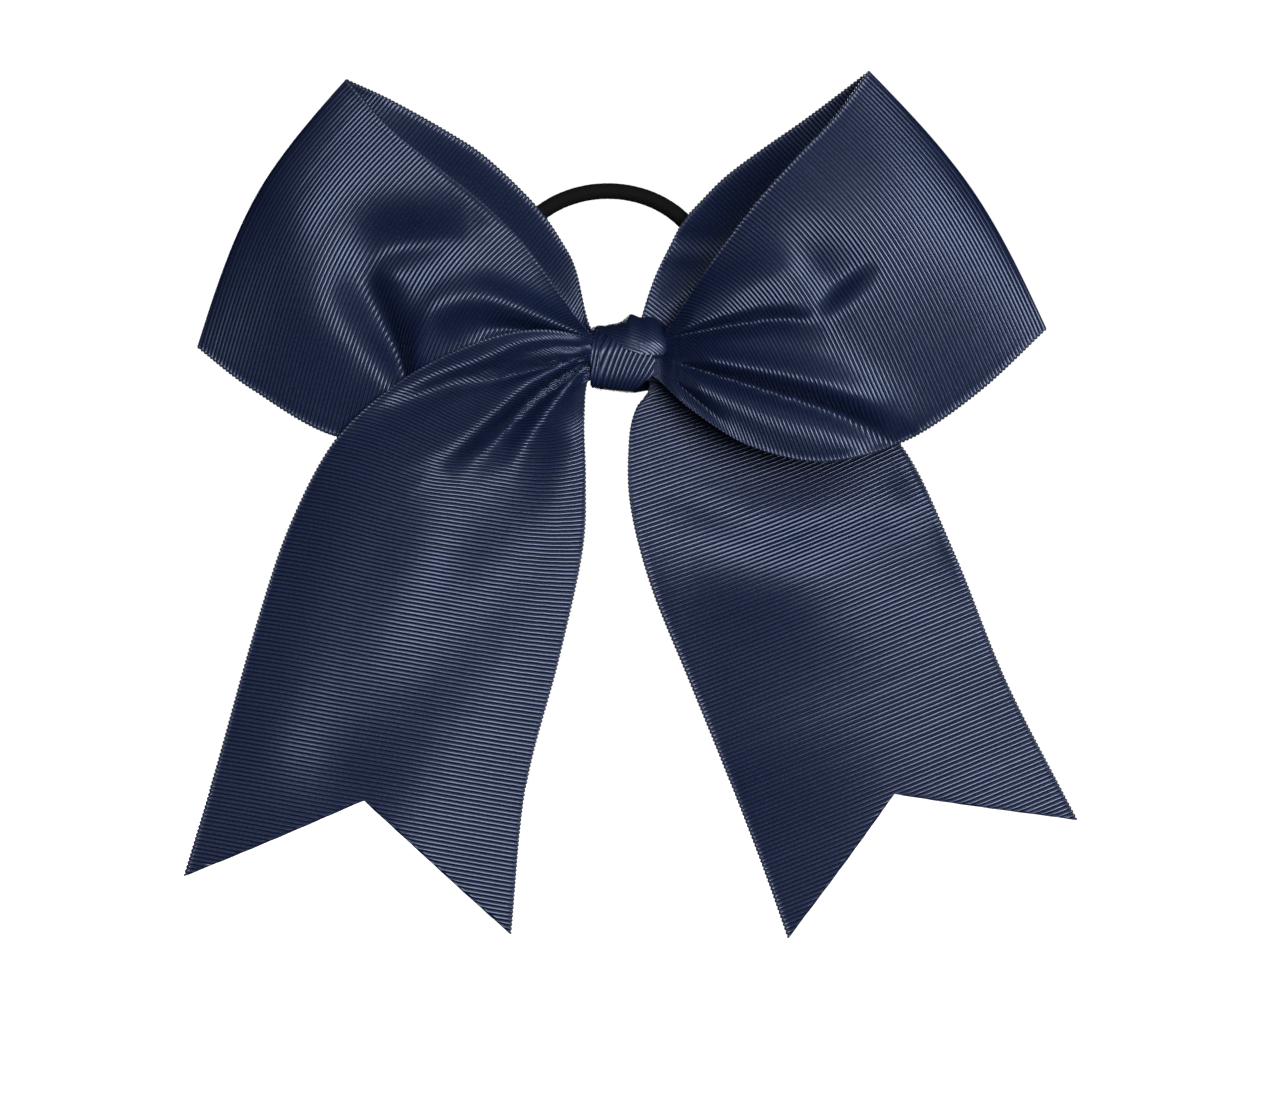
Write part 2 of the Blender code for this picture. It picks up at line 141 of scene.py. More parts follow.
# ---------------------------- shape of each ribbon layer
# Warp lines of each layer: share of the width, length of ribbon, and the way from the outer end
# to the inside of the knot. They are the CAD model's lines with more between them, carried on
# into the knot.
LEFT_TAIL = (
    (0.0, 176, [(-100.6, -6, -117.9), (-92.9, -8, -92.5), (-83.9, -11, -61.3),
                (-75.8, -14, -37.9), (-64.9, -17, -18.3), (-49.6, -19.5, -5.2),
                (-33.1, -20, 2.9), (-20, -17, 5.6), (-8.9, -11.8, 4), (-5, -10.5, 2.8)]),
    (0.18, 168, [(-87.2, -7.4, -120.3), (-81, -9.6, -92), (-73.5, -12.4, -60),
                 (-66, -16, -38), (-56, -19, -20.5), (-46, -20.4, -11.8), (-37.5, -20.2, -7.8),
                 (-28.1, -18.8, -3.4), (-20.4, -16.6, -1.2), (-8.7, -11.6, 0.9), (-5, -10.5, 0.8)]),
    (0.38, 162, [(-72.3, -9, -123), (-66.5, -11.6, -90), (-59.5, -15, -58), (-52, -18.6, -38),
                 (-44, -20.4, -26.5), (-34, -20, -18), (-26.2, -18.2, -11.4), (-20.4, -16, -6.4),
                 (-14.5, -13.6, -2.8), (-9.5, -11.6, -0.6), (-5, -10.5, -0.4)]),
    (0.52, 157, [(-61.9, -10, -124.7), (-56, -12.6, -90), (-49, -16, -60), (-43.6, -18.6, -43),
                 (-39, -19.6, -30), (-34, -19.4, -21.8), (-28.1, -18, -15.9), (-22.3, -16, -10.6),
                 (-16.5, -14, -6.6), (-9.3, -11.6, -1.9), (-5, -10.5, -1.5)]),
    (0.77, 145, [(-43.3, -8.4, -128.1), (-38, -10.6, -95), (-31.5, -13.4, -66),
                 (-26, -15.8, -43), (-21.4, -16.4, -27), (-16.8, -15.4, -15), (-12.4, -13.2, -7.2),
                 (-9.6, -11.8, -3.6), (-5, -10.5, -2.7)]),
    (1.0, 132, [(-26.2, -6, -131.2), (-22.8, -8, -97.9), (-15.3, -10, -68.8), (-9.9, -12, -44),
                (-9.2, -13, -28), (-9.6, -12.6, -15), (-8.9, -11.4, -6), (-5, -10.5, -4)]),
)
RIGHT_TAIL = (
    (0.0, 135.5, [(36.5, -1, -132.5), (30.7, -1, -116.1), (22.8, 0, -95.6), (14.2, 0, -74.4),
                  (5.3, 0, -52.3), (0.6, -0.5, -34.1), (0.2, -1.5, -20), (1.6, -2.4, -12.6),
                  (4.6, -3, -8.8), (5, -3.4, -5)]),
    (0.5, 144, [(69.5, -3, -119), (54, -4, -84), (42, -1, -52), (33, 3, -28), (22, 1.2, -12),
                (8.9, -3.2, -1), (5, -3.8, -1)]),
    (1.0, 160.5, [(102.6, -1, -105.4), (87, -1, -75.1), (75.1, 2, -45.6), (63.3, 5, -20.7),
                  (48, 6, -8), (30, 3.4, 0), (18, -0.6, 2.6), (8.9, -3.2, 3.4), (5, -3.8, 3)]),
)
LEFT_LOOP_FRONT = (
    (0.0, 87, [(-63.5, -6.6, 62.8), (-53.7, -12, 51.6), (-41.3, -16, 41.3), (-32, -17, 33.8),
               (-22.7, -15.5, 24.5), (-15.3, -12.5, 14), (-8.9, -8.8, 5.3), (-5, -8, 3.5)]),
    (0.5, 98, [(-84.3, -6.6, 35.6), (-70, -14.5, 26), (-54, -15, 16), (-36, -15.5, 7),
               (-20, -12.5, 2), (-8.9, -8.8, 0), (-5, -8, 0)]),
    (1.0, 102, [(-97.4, -6.6, 1.8), (-84.6, -10, -7.9), (-65.4, -12.5, -18.5), (-45, -13.5, -18),
                (-25, -12, -12), (-8.9, -8.8, -5.5), (-5, -8, -4)]),
)
LEFT_LOOP_BACK = (
    (0.0, 90, [(-63.5, -6.6, 62.8), (-53.7, 0, 58.9), (-41.3, 3.4, 52.3), (-32, 4.2, 46.1),
               (-20.7, 3, 35), (-14.7, 0.6, 26.4), (-11.5, -2, 19.6), (-8.6, -4.6, 7),
               (-5, -5.2, 4)]),
    (0.5, 93, [(-84.3, -6.6, 35.6), (-70, 0, 26), (-54, 1, 17), (-38, -0.5, 9), (-22, -3.2, 3),
               (-8.9, -4.6, 0), (-5, -5.2, 0)]),
    (1.0, 103, [(-97.4, -6.6, 1.8), (-84.6, -1, -7.9), (-65.4, 3, -18.5), (-45, 2.5, -18),
                (-25, -2, -11), (-8.9, -4.6, -5.5), (-5, -5.2, -4)]),
)
RIGHT_LOOP_FRONT = (
    (0.0, 82.5, [(54.6, -8.6, 64.5), (46.7, -14, 53.7), (37.7, -18, 44), (30.8, -19, 36.3),
                 (23.9, -18, 27.4), (16.9, -15.5, 17.7), (8.9, -11, 5.3), (5, -9.5, 3.5)]),
    (0.5, 95, [(78, -8.6, 37.5), (62, -17, 26), (42, -20, 12), (24, -17, 4), (8.9, -11, 0),
               (5, -9.5, 0)]),
    (1.0, 109, [(94.9, -8.6, 5.9), (79.2, -13, -8.6), (62.6, -16, -19.6), (44.6, -19, -24.4),
                (28.1, -18, -21), (15.6, -14.5, -13.3), (7.5, -11, -6), (4, -9.5, -4)]),
)
RIGHT_LOOP_BACK = (
    (0.0, 85, [(54.6, -8.6, 64.5), (41.2, -1, 55), (30.8, 1.5, 48), (22.6, 2, 41.9),
               (17, 1.4, 36.3), (12.9, 0, 31.6), (9.5, -2, 25.3), (6, -4.5, 17.7),
               (3.2, -6.4, 8.8), (3, -7, 4)]),
    (0.5, 90, [(78, -8.6, 37.5), (60, -2, 25), (40, -2, 13), (24, -4, 6), (8.9, -6.9, 1),
               (5, -7, 0)]),
    (1.0, 101.6, [(94.9, -8.6, 5.9), (79, -2, -7.6), (62, 1, -16), (44, 0.5, -17),
                  (28, -3, -13), (8.9, -6.9, -4.6), (5, -7, -4)]),
)

# Folds: a line across the layer as seen from the front (X, Z), the height towards the front along
# it and the half width along it. A negative height is a valley.
LEFT_LOOP_FOLDS = (
    ([(-36, 27), (-46, 25.5), (-56, 23.5), (-59, 17), (-55.5, 9), (-52, 1.5), (-49.8, -5)],
     (-0.8, -3.2, -4.8, -5.0, -4.8, -5.0, -3.6), (5, 5.5, 6.5, 6, 4.6, 3.2, 2.3), 0.8),
    ([(-47, -1), (-43.4, 9), (-34.4, 12.6), (-25.3, 10.8), (-13.2, 6), (-5, 3.8)],
     (2.2, 3.6, 3.4, 2.6, 1.8, 1.2), (3, 4.6, 4.4, 3.2, 1.6, 0.9), 1.0),
    ([(-33, 4.4), (-28.3, 5.8), (-19.3, 4.9), (-9, 3.1), (-5, 2.4)],
     (-0.4, -1.8, -3.0, -2.0, -1.6), (2.4, 1.8, 1.4, 0.9, 0.8), 1.0),
    ([(-76, 38), (-71.8, 28), (-66, 10), (-60, -4)], (0.6, 1.0, 1.0, 0.8), (9, 9, 9, 9), 1.0),
    ([(-42, -8), (-26, -1), (-9, 0.2), (-5, 0.2)], (0.5, 1.5, 1.4, 1.4), (6, 2.5, 0.9, 0.8), 1.0),
    ([(-26, -8), (-9, -2.4), (-5, -1.8)], (-0.5, -1.4, -1.4), (3, 0.9, 0.8), 1.0),
)
RIGHT_LOOP_FOLDS = (
    ([(40, 8), (44, 11.6), (47.5, 15), (51.5, 18.4), (55.5, 22)], (-0.2, -2.4, -4.2, -2.6, -0.2),
     (5.0, 5.0, 5.0, 5.0, 5.0), 2.3),
    ([(5, 4.4), (9.1, 6), (20, 13), (34, 17.5), (46, 12)], (0.8, 0.9, 1.1, 1.4, 0.6),
     (1.0, 1.4, 4.0, 5.0, 5.0), 1.0),
    ([(5, 2.8), (9.3, 3.8), (15, 4.9), (23.7, 6.6), (33, 7.8), (40, 7.2), (46, 5.5)],
     (-1.6, -2.0, -3.0, -3.8, -3.2, -1.8, -0.3), (0.8, 0.9, 1.3, 1.6, 1.9, 2.4, 3), 0.75),
    ([(5, 1.0), (9.5, 0.7), (20.4, -2.0), (40.2, -6.6), (51.5, -10.6), (60, -15)],
     (1.4, 1.6, 2.8, 3.4, 2.6, 1.0), (0.9, 1.0, 2.0, 3.0, 3.6, 4.4), 1.45),
    ([(5, -0.5), (9.1, -1.3), (27, -6.6), (46.8, -12.9), (56, -17.4)],
     (-1.5, -1.8, -3.0, -3.6, -1.8), (0.8, 0.8, 1.5, 2.2, 3.0), 0.75),
    ([(5, -1.8), (9.8, -3.4), (19, -8.6), (33.6, -16), (46.8, -20.4)],
     (1.2, 1.3, 1.8, 1.4, 0.6), (0.8, 0.9, 2.4, 3.6, 4.4), 1.0),
    ([(5, -3.0), (8, -3.6), (14.5, -9.2), (21.7, -15.5)],
     (-1.0, -1.3, -1.6, -0.4), (0.6, 0.7, 0.9, 1.1), 1.0),
)
LEFT_TAIL_FOLDS = (
    ([(-5, 2.0), (-8.7, 2.6), (-16.5, 3.2), (-24.3, 2.2), (-32, -1), (-42, -6.0), (-52, -11)],
     (1.2, 1.3, 2.0, 2.4, 2.2, 1.6, 0.6), (0.8, 0.9, 1.6, 2.0, 2.6, 3.2, 4), 1.0),
    ([(-5, 0.9), (-9, 1.1), (-22.3, -2.6), (-37.4, -5.5), (-48, -9.8), (-58.5, -15.2)],
     (-1.6, -2.0, -3.8, -4.0, -2.6, -0.5), (0.8, 0.9, 1.5, 2.0, 2.8, 3.8), 1.35),
    ([(-5, -0.4), (-9.5, -0.8), (-16, -3.6), (-22, -7.6), (-28, -12.6), (-34, -17.6),
      (-42, -22.5)],
     (1.5, 1.7, 2.6, 3.2, 3.2, 2.4, 0.8), (0.8, 0.9, 1.8, 2.6, 3.4, 4.2, 5.0), 0.8),
    ([(-5, -1.5), (-9.0, -1.9), (-13.2, -4.2), (-20.5, -9.2), (-26.5, -15), (-34.4, -22.4),
      (-41, -27)],
     (-1.6, -2.0, -3.2, -4.2, -3.8, -2.2, -0.5), (0.7, 0.8, 1.2, 1.6, 2.2, 3.2, 4.4), 1.35),
    ([(-5, -2.6), (-9.6, -3.4), (-14, -8), (-19.4, -15.4), (-24, -24)],
     (1.2, 1.4, 1.9, 1.5, 0.4), (0.8, 0.9, 2.0, 3.0, 4.0), 1.0),
    ([(-5, -3.6), (-9.8, -4.9), (-13, -9.6)], (-1.0, -1.0, -0.2), (0.7, 0.8, 1.4), 1.0),
    ([(-11, -5.6), (-17.5, -12.8), (-23, -20.6), (-26, -28.5)], (0.5, 0.8, 0.8, 0.1),
     (0.8, 0.8, 0.9, 1.0), 0.7),
    ([(-13, -20), (-14.5, -30)], (-1.6, -1.2), (4.5, 6.0), 1.0),
    ([(-20, -40), (-40, -62), (-62, -92)], (-1.2, -2.4, -2.0), (9, 12, 14), 1.0),
    ([(-58, -26), (-72, -56), (-80, -84)], (0.6, 1.2, 1.0), (10, 10, 10), 1.0),
)
RIGHT_TAIL_FOLDS = (
    ([(8, -30), (30, -36), (58, -32)], (-0.6, -2.4, -1.6), (6, 7, 7), 1.0),
    ([(14, -52), (40, -52), (68, -46)], (0.8, 2.4, 1.4), (9, 10, 9), 1.0),
    ([(24, -80), (52, -76), (80, -70)], (-1.2, -2.2, -0.8), (12, 12, 12), 1.0),
)
BACK_FOLDS_LEFT = (
    ([(-66, 64.5), (-53.7, 59.5), (-41.3, 53), (-32, 47), (-20.7, 36), (-14, 26.4), (-10.5, 18),
      (-8.6, 8)], (-0.2, -3.0, -5.5, -6.0, -5.5, -4.6, -2.6, -0.6), (8, 8, 8.5, 9, 9, 8, 6, 4), 1.0),
    ([(-5, 2), (-9, 2.5), (-24, 6), (-44, 10)], (-1.4, -1.6, -2.4, -0.4), (1.0, 1.2, 3.0, 6.0), 1.0),
    ([(-5, -1), (-9, -1.5), (-24, -5), (-44, -10)], (1.4, 1.6, 2.4, 0.4), (1.0, 1.2, 3.0, 6.0), 1.0),
)
BACK_FOLDS_RIGHT = (
    ([(57, 66.5), (41.2, 56), (30.8, 49), (22.6, 43), (15.5, 36.3), (11, 30), (8, 23), (5, 13)],
     (-0.2, -3.0, -5.5, -6.0, -5.5, -4.6, -3.0, -0.8), (8, 8, 8.5, 9, 9, 8, 7, 4), 1.0),
    ([(5, 1), (9, 2), (24, 9), (40, 14)], (-1.2, -1.4, -2.0, -0.4), (1.0, 1.2, 3.0, 6.0), 1.0),
    ([(5, -1), (9, -1.5), (24, -4), (44, -8)], (1.2, 1.4, 2.0, 0.4), (1.0, 1.2, 3.0, 6.0), 1.0),
    ([(10, 27.4), (16, 27.2), (25, 26)], (0.6, 0.8, 0.5), (2.2, 2.2, 2.4), 1.0),
    ([(8, 23.2), (15, 22.8), (23, 21.6)], (-0.6, -0.9, -0.5), (2.2, 2.2, 2.4), 1.0),
)


# ---------------------------- curves and sheets
def catmull_rom(points, at):
    """The smooth curve through evenly spaced points; at is an array of shares from 0 to 1."""
    points = np.asarray(points, float)
    last = len(points) - 1
    place = np.clip(at, 0, 1) * last
    i = np.minimum(place.astype(int), last - 1)
    f = (place - i).reshape((-1,) + (1,) * (points.ndim - 1))
    p1, p2 = points[i], points[i + 1]
    p0 = np.where((i > 0).reshape(f.shape), points[np.maximum(i - 1, 0)], 2 * p1 - p2)
    p3 = np.where((i + 2 <= last).reshape(f.shape), points[np.minimum(i + 2, last)], 2 * p2 - p1)
    return 0.5 * (2 * p1 + (p2 - p0) * f + (2 * p0 - 5 * p1 + 4 * p2 - p3) * f ** 2
                  + (3 * p1 - p0 - 3 * p2 + p3) * f ** 3)


def measured(points):
    """A fine copy of the curve through points, and the length along it."""
    fine = catmull_rom(points, np.linspace(0, 1, 1201))
    step = np.linalg.norm(np.diff(fine, axis=0), axis=1)
    return fine, np.concatenate([[0], np.cumsum(step)])


def read_at(curve, lengths):
    """Points of a measured curve at these lengths along it."""
    fine, along = curve
    return np.stack([np.interp(lengths, along, fine[:, k]) for k in range(3)], axis=1)


def spline_weights(shares, at):
    """How much each line counts at each share of the width, on a natural cubic spline."""
    count = len(shares)
    gap = np.diff(shares)
    left, right = np.eye(count), np.zeros((count, count))
    for k in range(1, count - 1):
        left[k, k - 1:k + 2] = gap[k - 1], 2 * (gap[k - 1] + gap[k]), gap[k]
        right[k, k - 1:k + 2] = 6 / gap[k - 1], -6 / gap[k - 1] - 6 / gap[k], 6 / gap[k]
    bend = np.linalg.solve(left, right)
    i = np.clip(np.searchsorted(shares, at) - 1, 0, count - 2)
    b = (at - np.asarray(shares)[i]) / gap[i]
    a = 1 - b
    weights = np.zeros((len(at), count))
    row = np.arange(len(at))
    weights[row, i] += a
    weights[row, i + 1] += b
    curl = (a ** 3 - a)[:, None] * bend[i] + (b ** 3 - b)[:, None] * bend[i + 1]
    return weights + curl * (gap[i] ** 2 / 6)[:, None]


def fold_heights(points, folds):
    """How far the folds push each point towards the front."""
    x, z = points[..., 0], points[..., 2]
    total = np.zeros(x.shape)
    for path, heights, widths, skew in folds:
        line = catmull_rom([(a, 0, b) for a, b in path], np.linspace(0, 1, 33))
        best = np.full(x.shape, 1e9)
        where, side = np.zeros(x.shape), np.zeros(x.shape)
        for k in range(32):
            ax, az = line[k, 0], line[k, 2]
            dx, dz = line[k + 1, 0] - ax, line[k + 1, 2] - az
            u = np.clip(((x - ax) * dx + (z - az) * dz) / (dx * dx + dz * dz), 0, 1)
            d = (x - ax - u * dx) ** 2 + (z - az - u * dz) ** 2
            near = d < best
            best = np.where(near, d, best)
            where = np.where(near, (k + u) / 32, where)
            side = np.where(near, dx * (z - az) - dz * (x - ax), side)
        knots = np.linspace(0, 1, len(heights))
        height = catmull_rom(np.array(heights)[:, None], where.ravel())[:, 0].reshape(x.shape)
        width = np.interp(where, knots, widths) * np.where(side > 0, skew, 1 / skew)
        total += height * np.exp(-best / width ** 2)
    return total


def fold_map(folds, low, high):
    """The folds' heights on an even grid over X and Z, to read many times."""
    x = np.arange(low[0] - 2, high[0] + 2, MAP_STEP)
    z = np.arange(low[1] - 2, high[1] + 2, MAP_STEP)
    grid = np.zeros((len(x), len(z), 3))
    grid[..., 0], grid[..., 2] = x[:, None], z
    return (x[0], z[0], fold_heights(grid, folds))


def map_heights(fold_grid, points):
    """The heights in a fold map at each point's X and Z."""
    x0, z0, heights = fold_grid
    u = np.clip((points[..., 0] - x0) / MAP_STEP, 0, heights.shape[0] - 1.001)
    v = np.clip((points[..., 2] - z0) / MAP_STEP, 0, heights.shape[1] - 1.001)
    i, j = u.astype(int), v.astype(int)
    f, g = u - i, v - j
    return ((1 - f) * (1 - g) * heights[i, j] + f * (1 - g) * heights[i + 1, j]
            + (1 - f) * g * heights[i, j + 1] + f * g * heights[i + 1, j + 1])


def moved_together(points, free, first, second, rest, stiffness):
    """Moves pairs of nodes towards the distance in rest."""
    gap = points[second] - points[first]
    length = np.maximum(np.linalg.norm(gap, axis=-1, keepdims=True), 1e-6)
    total = np.maximum(free[first] + free[second], 1e-6)[..., None]
    step = stiffness * (length - rest[..., None]) / length * gap / total
    points[first] += free[first][..., None] * step
    points[second] -= free[second][..., None] * step


def relaxed(points, flat, free, folds):
    """Slides the nodes of a cage over the folded surface towards the lengths of flat ribbon."""
    goal = points.copy()
    points = points.copy()
    low, high = goal.min(axis=(0, 1)), goal.max(axis=(0, 1))
    heights = fold_map(folds, low[[0, 2]], high[[0, 2]])
    every = slice(None)
    groups = []
    for start in (0, 1):
        # Across the ribbon the nodes share out the width there is; along it they keep its length.
        first, second = slice(start, -1, 2), slice(start + 1, None, 2)
        none = np.zeros(flat[:, first].shape[:2])
        groups.append(((every, first), (every, second), none, STIFFNESS_ACROSS))
        rest = np.linalg.norm(flat[second] - flat[first], axis=-1)
        groups.append(((first, every), (second, every), rest, STIFFNESS_ALONG))
    for _ in range(RELAX_ROUNDS):
        points[..., 1] = goal[..., 1] - map_heights(heights, points)
        for first, second, rest, stiffness in groups:
            moved_together(points, free, first, second, rest, stiffness)
        points += (goal - points) * PULL_HOME
        for place in ((every, [0, -1]), (0, every)):
            held = points[place]
            held[..., [0, 2]] = goal[place][..., [0, 2]]
            points[place] = held
    points[..., 1] = goal[..., 1] - map_heights(heights, points)
    return points


def kept_clear(nodes, other, side):
    """Nodes moved in front (side -1) or behind (side 1) of another layer where they overlap."""
    tree = KDTree(other.shape[0] * other.shape[1])
    flat = other.reshape(-1, 3)
    for k, (x, _, z) in enumerate(flat):
        tree.insert((x, 0, z), k)
    tree.balance()
    limit = np.full(nodes.shape[:2], -1e9)
    for i, row in enumerate(nodes):
        for j, (x, _, z) in enumerate(row):
            _, k, distance = tree.find((x, 0, z))
            if distance < OVERLAP_REACH:
                limit[i, j] = side * flat[k, 1] + LAYER_GAP
    nodes = nodes.copy()
    nodes[..., 1] = side * np.maximum(side * nodes[..., 1], limit)
    return nodes


def cage(lines, folds, cut, bulge=0.0):
    """The relaxed cage of one layer: its nodes, the depth of its V cut, and its lengths."""
    across = np.linspace(0, 1, CAGE_COLUMNS)
    share = np.linspace(0, 1, CAGE_ROWS)
    weights = spline_weights([line[0] for line in lines], across)
    ends = weights @ np.array([line[1] for line in lines], float)
    curves = [measured(line[2]) for line in lines]
    nodes = np.zeros((CAGE_ROWS, CAGE_COLUMNS, 3))
    for curve, line, weight in zip(curves, lines, weights.T):
        # Ribbon that a line has over its own path is taken up in gathers near the knot.
        spare = line[1] - curve[1][-1]
        path = read_at(curve, line[1] * share - spare * share ** 3)
        nodes += weight[:, None] * path[:, None]
    flat = np.zeros((CAGE_ROWS, CAGE_COLUMNS, 2))
    flat[..., 0] = across * RIBBON_WIDTH
    flat[..., 1] = share[:, None] * ends
    if bulge:
        height = bulge * (0.45 + 0.55 * np.sin(math.pi * across))
        nodes[..., 1] -= height * (1 - np.exp(-flat[..., 1] / FOLD_BULGE_REACH))
    free = np.ones((CAGE_ROWS, CAGE_COLUMNS))
    free[-HELD_ROWS:] = 0
    if not cut:
        free[0] = 0
    laid = relaxed(nodes, flat, free, folds)
    # The knot ribbon holds the gathers back where they pass under it.
    beyond = np.maximum(np.abs(laid[..., 0]) - KNOT_HALF_WIDTH + 0.4, 0)
    laid[..., 1] = np.maximum(laid[..., 1], HELD_FRONT - HELD_SLOPE * beyond)
    return laid, cut, ends


def upsampled(nodes, cut, ends, rows, across):
    """Points of a layer on its ribs: rows are lengths from the outer end, less the V cut."""
    fine = np.swapaxes(catmull_rom(np.swapaxes(nodes, 0, 1), across), 0, 1)
    last = catmull_rom(ends[:, None], across)[:, 0]
    first = cut * (1 - np.abs(2 * across - 1))
    count = fine.shape[0] - 1
    place = np.clip(np.maximum(rows[:, None], first) / last, 0, 1) * count
    i = np.minimum(place.astype(int), count - 1)
    f = (place - i)[..., None]
    j = np.broadcast_to(np.arange(len(across)), i.shape)
    p0, p1 = fine[np.maximum(i - 1, 0), j], fine[i, j]
    p2, p3 = fine[i + 1, j], fine[np.minimum(i + 2, count), j]
    return 0.5 * (2 * p1 + (p2 - p0) * f + (2 * p0 - 5 * p1 + 4 * p2 - p3) * f ** 2
                  + (3 * p1 - p0 - 3 * p2 + p3) * f ** 3)


def grid_normals(grid):
    """The unit normal at each point of a grid."""
    along = np.gradient(grid, axis=0)
    across = np.gradient(grid, axis=1)
    normal = np.cross(along, across)
    size = np.linalg.norm(normal, axis=2, keepdims=True)
    return normal / np.maximum(size, 1e-9)


def kept_faces(grid):
    """Faces of the grid that haven't collapsed to a line, as corner lists."""
    rows, columns = grid.shape[:2]
    index = np.arange(rows * columns).reshape(rows, columns)
    quads = np.stack([index[:-1, :-1], index[1:, :-1], index[1:, 1:], index[:-1, 1:]], axis=-1)
    quads = quads.reshape(-1, 4)
    flat = grid.reshape(-1, 3)
    first = np.cross(flat[quads[:, 1]] - flat[quads[:, 0]], flat[quads[:, 2]] - flat[quads[:, 0]])
    second = np.cross(flat[quads[:, 2]] - flat[quads[:, 0]], flat[quads[:, 3]] - flat[quads[:, 0]])
    area = np.linalg.norm(first, axis=1) + np.linalg.norm(second, axis=1)
    return quads[area > 2e-3]


def sheet_mesh(name, grid, half, uv, material):
    """A closed thin sheet about a grid of points, half thick on either side, with a UV map."""
    normal = grid_normals(grid)
    flat = grid.reshape(-1, 3)
    faces = kept_faces(grid)
    thick = half.reshape(-1, 1)
    count = len(flat)
    points = np.concatenate([flat - normal.reshape(-1, 3) * thick,
                             flat + normal.reshape(-1, 3) * thick])
    back = faces[:, ::-1] + count
    # An edge of only one face is on the rim, where a wall joins the two sides.
    edges = np.concatenate([faces[:, [k, (k + 1) % 4]] for k in range(4)])
    keys = np.sort(edges, axis=1)
    _, first, counts = np.unique(keys, axis=0, return_index=True, return_counts=True)
    rim = edges[first[counts == 1]]
    walls = np.stack([rim[:, 1], rim[:, 0], rim[:, 0] + count, rim[:, 1] + count], axis=1)
    every = np.concatenate([faces, back, walls])
    used, every_new = np.unique(every, return_inverse=True)
    every = every_new.reshape(every.shape)
    mesh = bpy.data.meshes.new(name)
    mesh.from_pydata((points[used] * MM).tolist(), [], every.tolist())
    layer = mesh.uv_layers.new(name="weave")
    both = np.concatenate([uv.reshape(-1, 2), uv.reshape(-1, 2)])[used]
    loops = np.empty(len(mesh.loops), np.int32)
    mesh.loops.foreach_get("vertex_index", loops)
    layer.data.foreach_set("uv", both[loops].astype(np.float32).ravel())
    mesh.shade_smooth()
    mesh.validate()
    mesh.materials.append(material)
    obj = bpy.data.objects.new(name, mesh)
    bpy.context.scene.collection.objects.link(obj)
    return obj


def rib_places(length):
    """Lengths of the mesh rows: valley, shoulder, crest and shoulder of each rib."""
    start = np.arange(0, length, RIB_PITCH)[:, None]
    steps = RIB_PITCH * np.array([0, SHOULDER_PLACE, 0.5, 1 - SHOULDER_PLACE])
    return (start + steps).ravel()


def rib_half(rows, rng, across):
    """Half thickness on rows from rib_places: round cords side by side, each a little uneven."""
    columns = len(across)
    level = np.tile([0, SHOULDER_HALF - VALLEY_HALF, CREST_HALF - VALLEY_HALF,
                     SHOULDER_HALF - VALLEY_HALF], len(rows) // 4 + 1)[:len(rows)]
    cords = len(rows) // 4 + 1
    uneven = np.repeat(1 + 0.06 * rng.standard_normal(cords), 4)[:len(rows)]
    # A cord also swells and thins along its own length.
    swell = rng.standard_normal((cords, columns // 4 + 2))
    fine = np.stack([np.interp(np.arange(columns) / 4, np.arange(swell.shape[1]), row)
                     for row in swell])
    swell = 1 + 0.05 * np.repeat(fine, 4, axis=0)[:len(rows)]
    return (VALLEY_HALF + (level * uneven)[:, None] * swell) * selvage_swell(across)


def scalloped(grid, rows):
    """Pulls the selvages in between ribs, as the weft turns back there."""
    depth = SELVAGE_SCALLOP * (1 - np.abs(np.sin(math.pi * rows / RIB_PITCH)))
    for edge, next_one, inner in ((0, 1, 3), (-1, -2, -4)):
        direction = grid[:, inner] - grid[:, edge]
        size = np.maximum(np.linalg.norm(direction, axis=1, keepdims=True), 1e-6)
        grid[:, edge] += direction / size * depth[:, None]
        grid[:, next_one] += direction / size * depth[:, None] * 0.5
    return grid


def across_shares():
    """Shares of the width, with a narrow strip at each selvage."""
    inner = np.linspace(0, 1, int(RIBBON_WIDTH / ACROSS_STEP) + 1)[1:-1]
    edge = np.array([0, 0.35, 0.7, 1.05]) / RIBBON_WIDTH
    return np.concatenate([edge, inner, 1 - edge[::-1]])


def selvage_swell(across):
    """The rolled selvage: thick at the edge, with a slight groove inside it."""
    place = np.minimum(across, 1 - across) * RIBBON_WIDTH
    return np.interp(place, (0, 0.35, 0.7, 1.05, 2.0), (0.55, 1.35, 1.15, 0.75, 1.0))


def weave_uv(across, rows):
    """Ribbon coordinates in millimetres for the weave."""
    uv = np.zeros((len(rows), len(across), 2))
    uv[..., 0] = across * RIBBON_WIDTH
    uv[..., 1] = rows[:, None]
    return uv


def tail_ribbon(name, laid, material, rng):
    """One tail, from its V cut to the inside of the knot."""
    nodes, cut, ends = laid
    across = across_shares()
    rows = rib_places(ends.max())
    grid = scalloped(upsampled(nodes, cut, ends, rows, across), rows)
    half = rib_half(rows, rng, across)
    return sheet_mesh(name, grid, half, weave_uv(across, rows), material)


def loop_ribbon(name, front, back, material, rng):
    """Front layer, outer fold and back layer in one piece of ribbon."""
    across = across_shares()
    front_rows, back_rows = (rib_places(layer[2].max()) for layer in (front, back))
    grids = [upsampled(*layer, rows, across)
             for layer, rows in ((front, front_rows), (back, back_rows))]
    grid = np.concatenate([grids[0][::-1], grids[1][1:]])
    rows = np.concatenate([-front_rows[::-1], back_rows[1:]])
    half = np.concatenate([rib_half(front_rows, rng, across)[::-1],
                           rib_half(back_rows, rng, across)[1:]])
    return sheet_mesh(name, scalloped(grid, rows), half, weave_uv(across, rows), material)


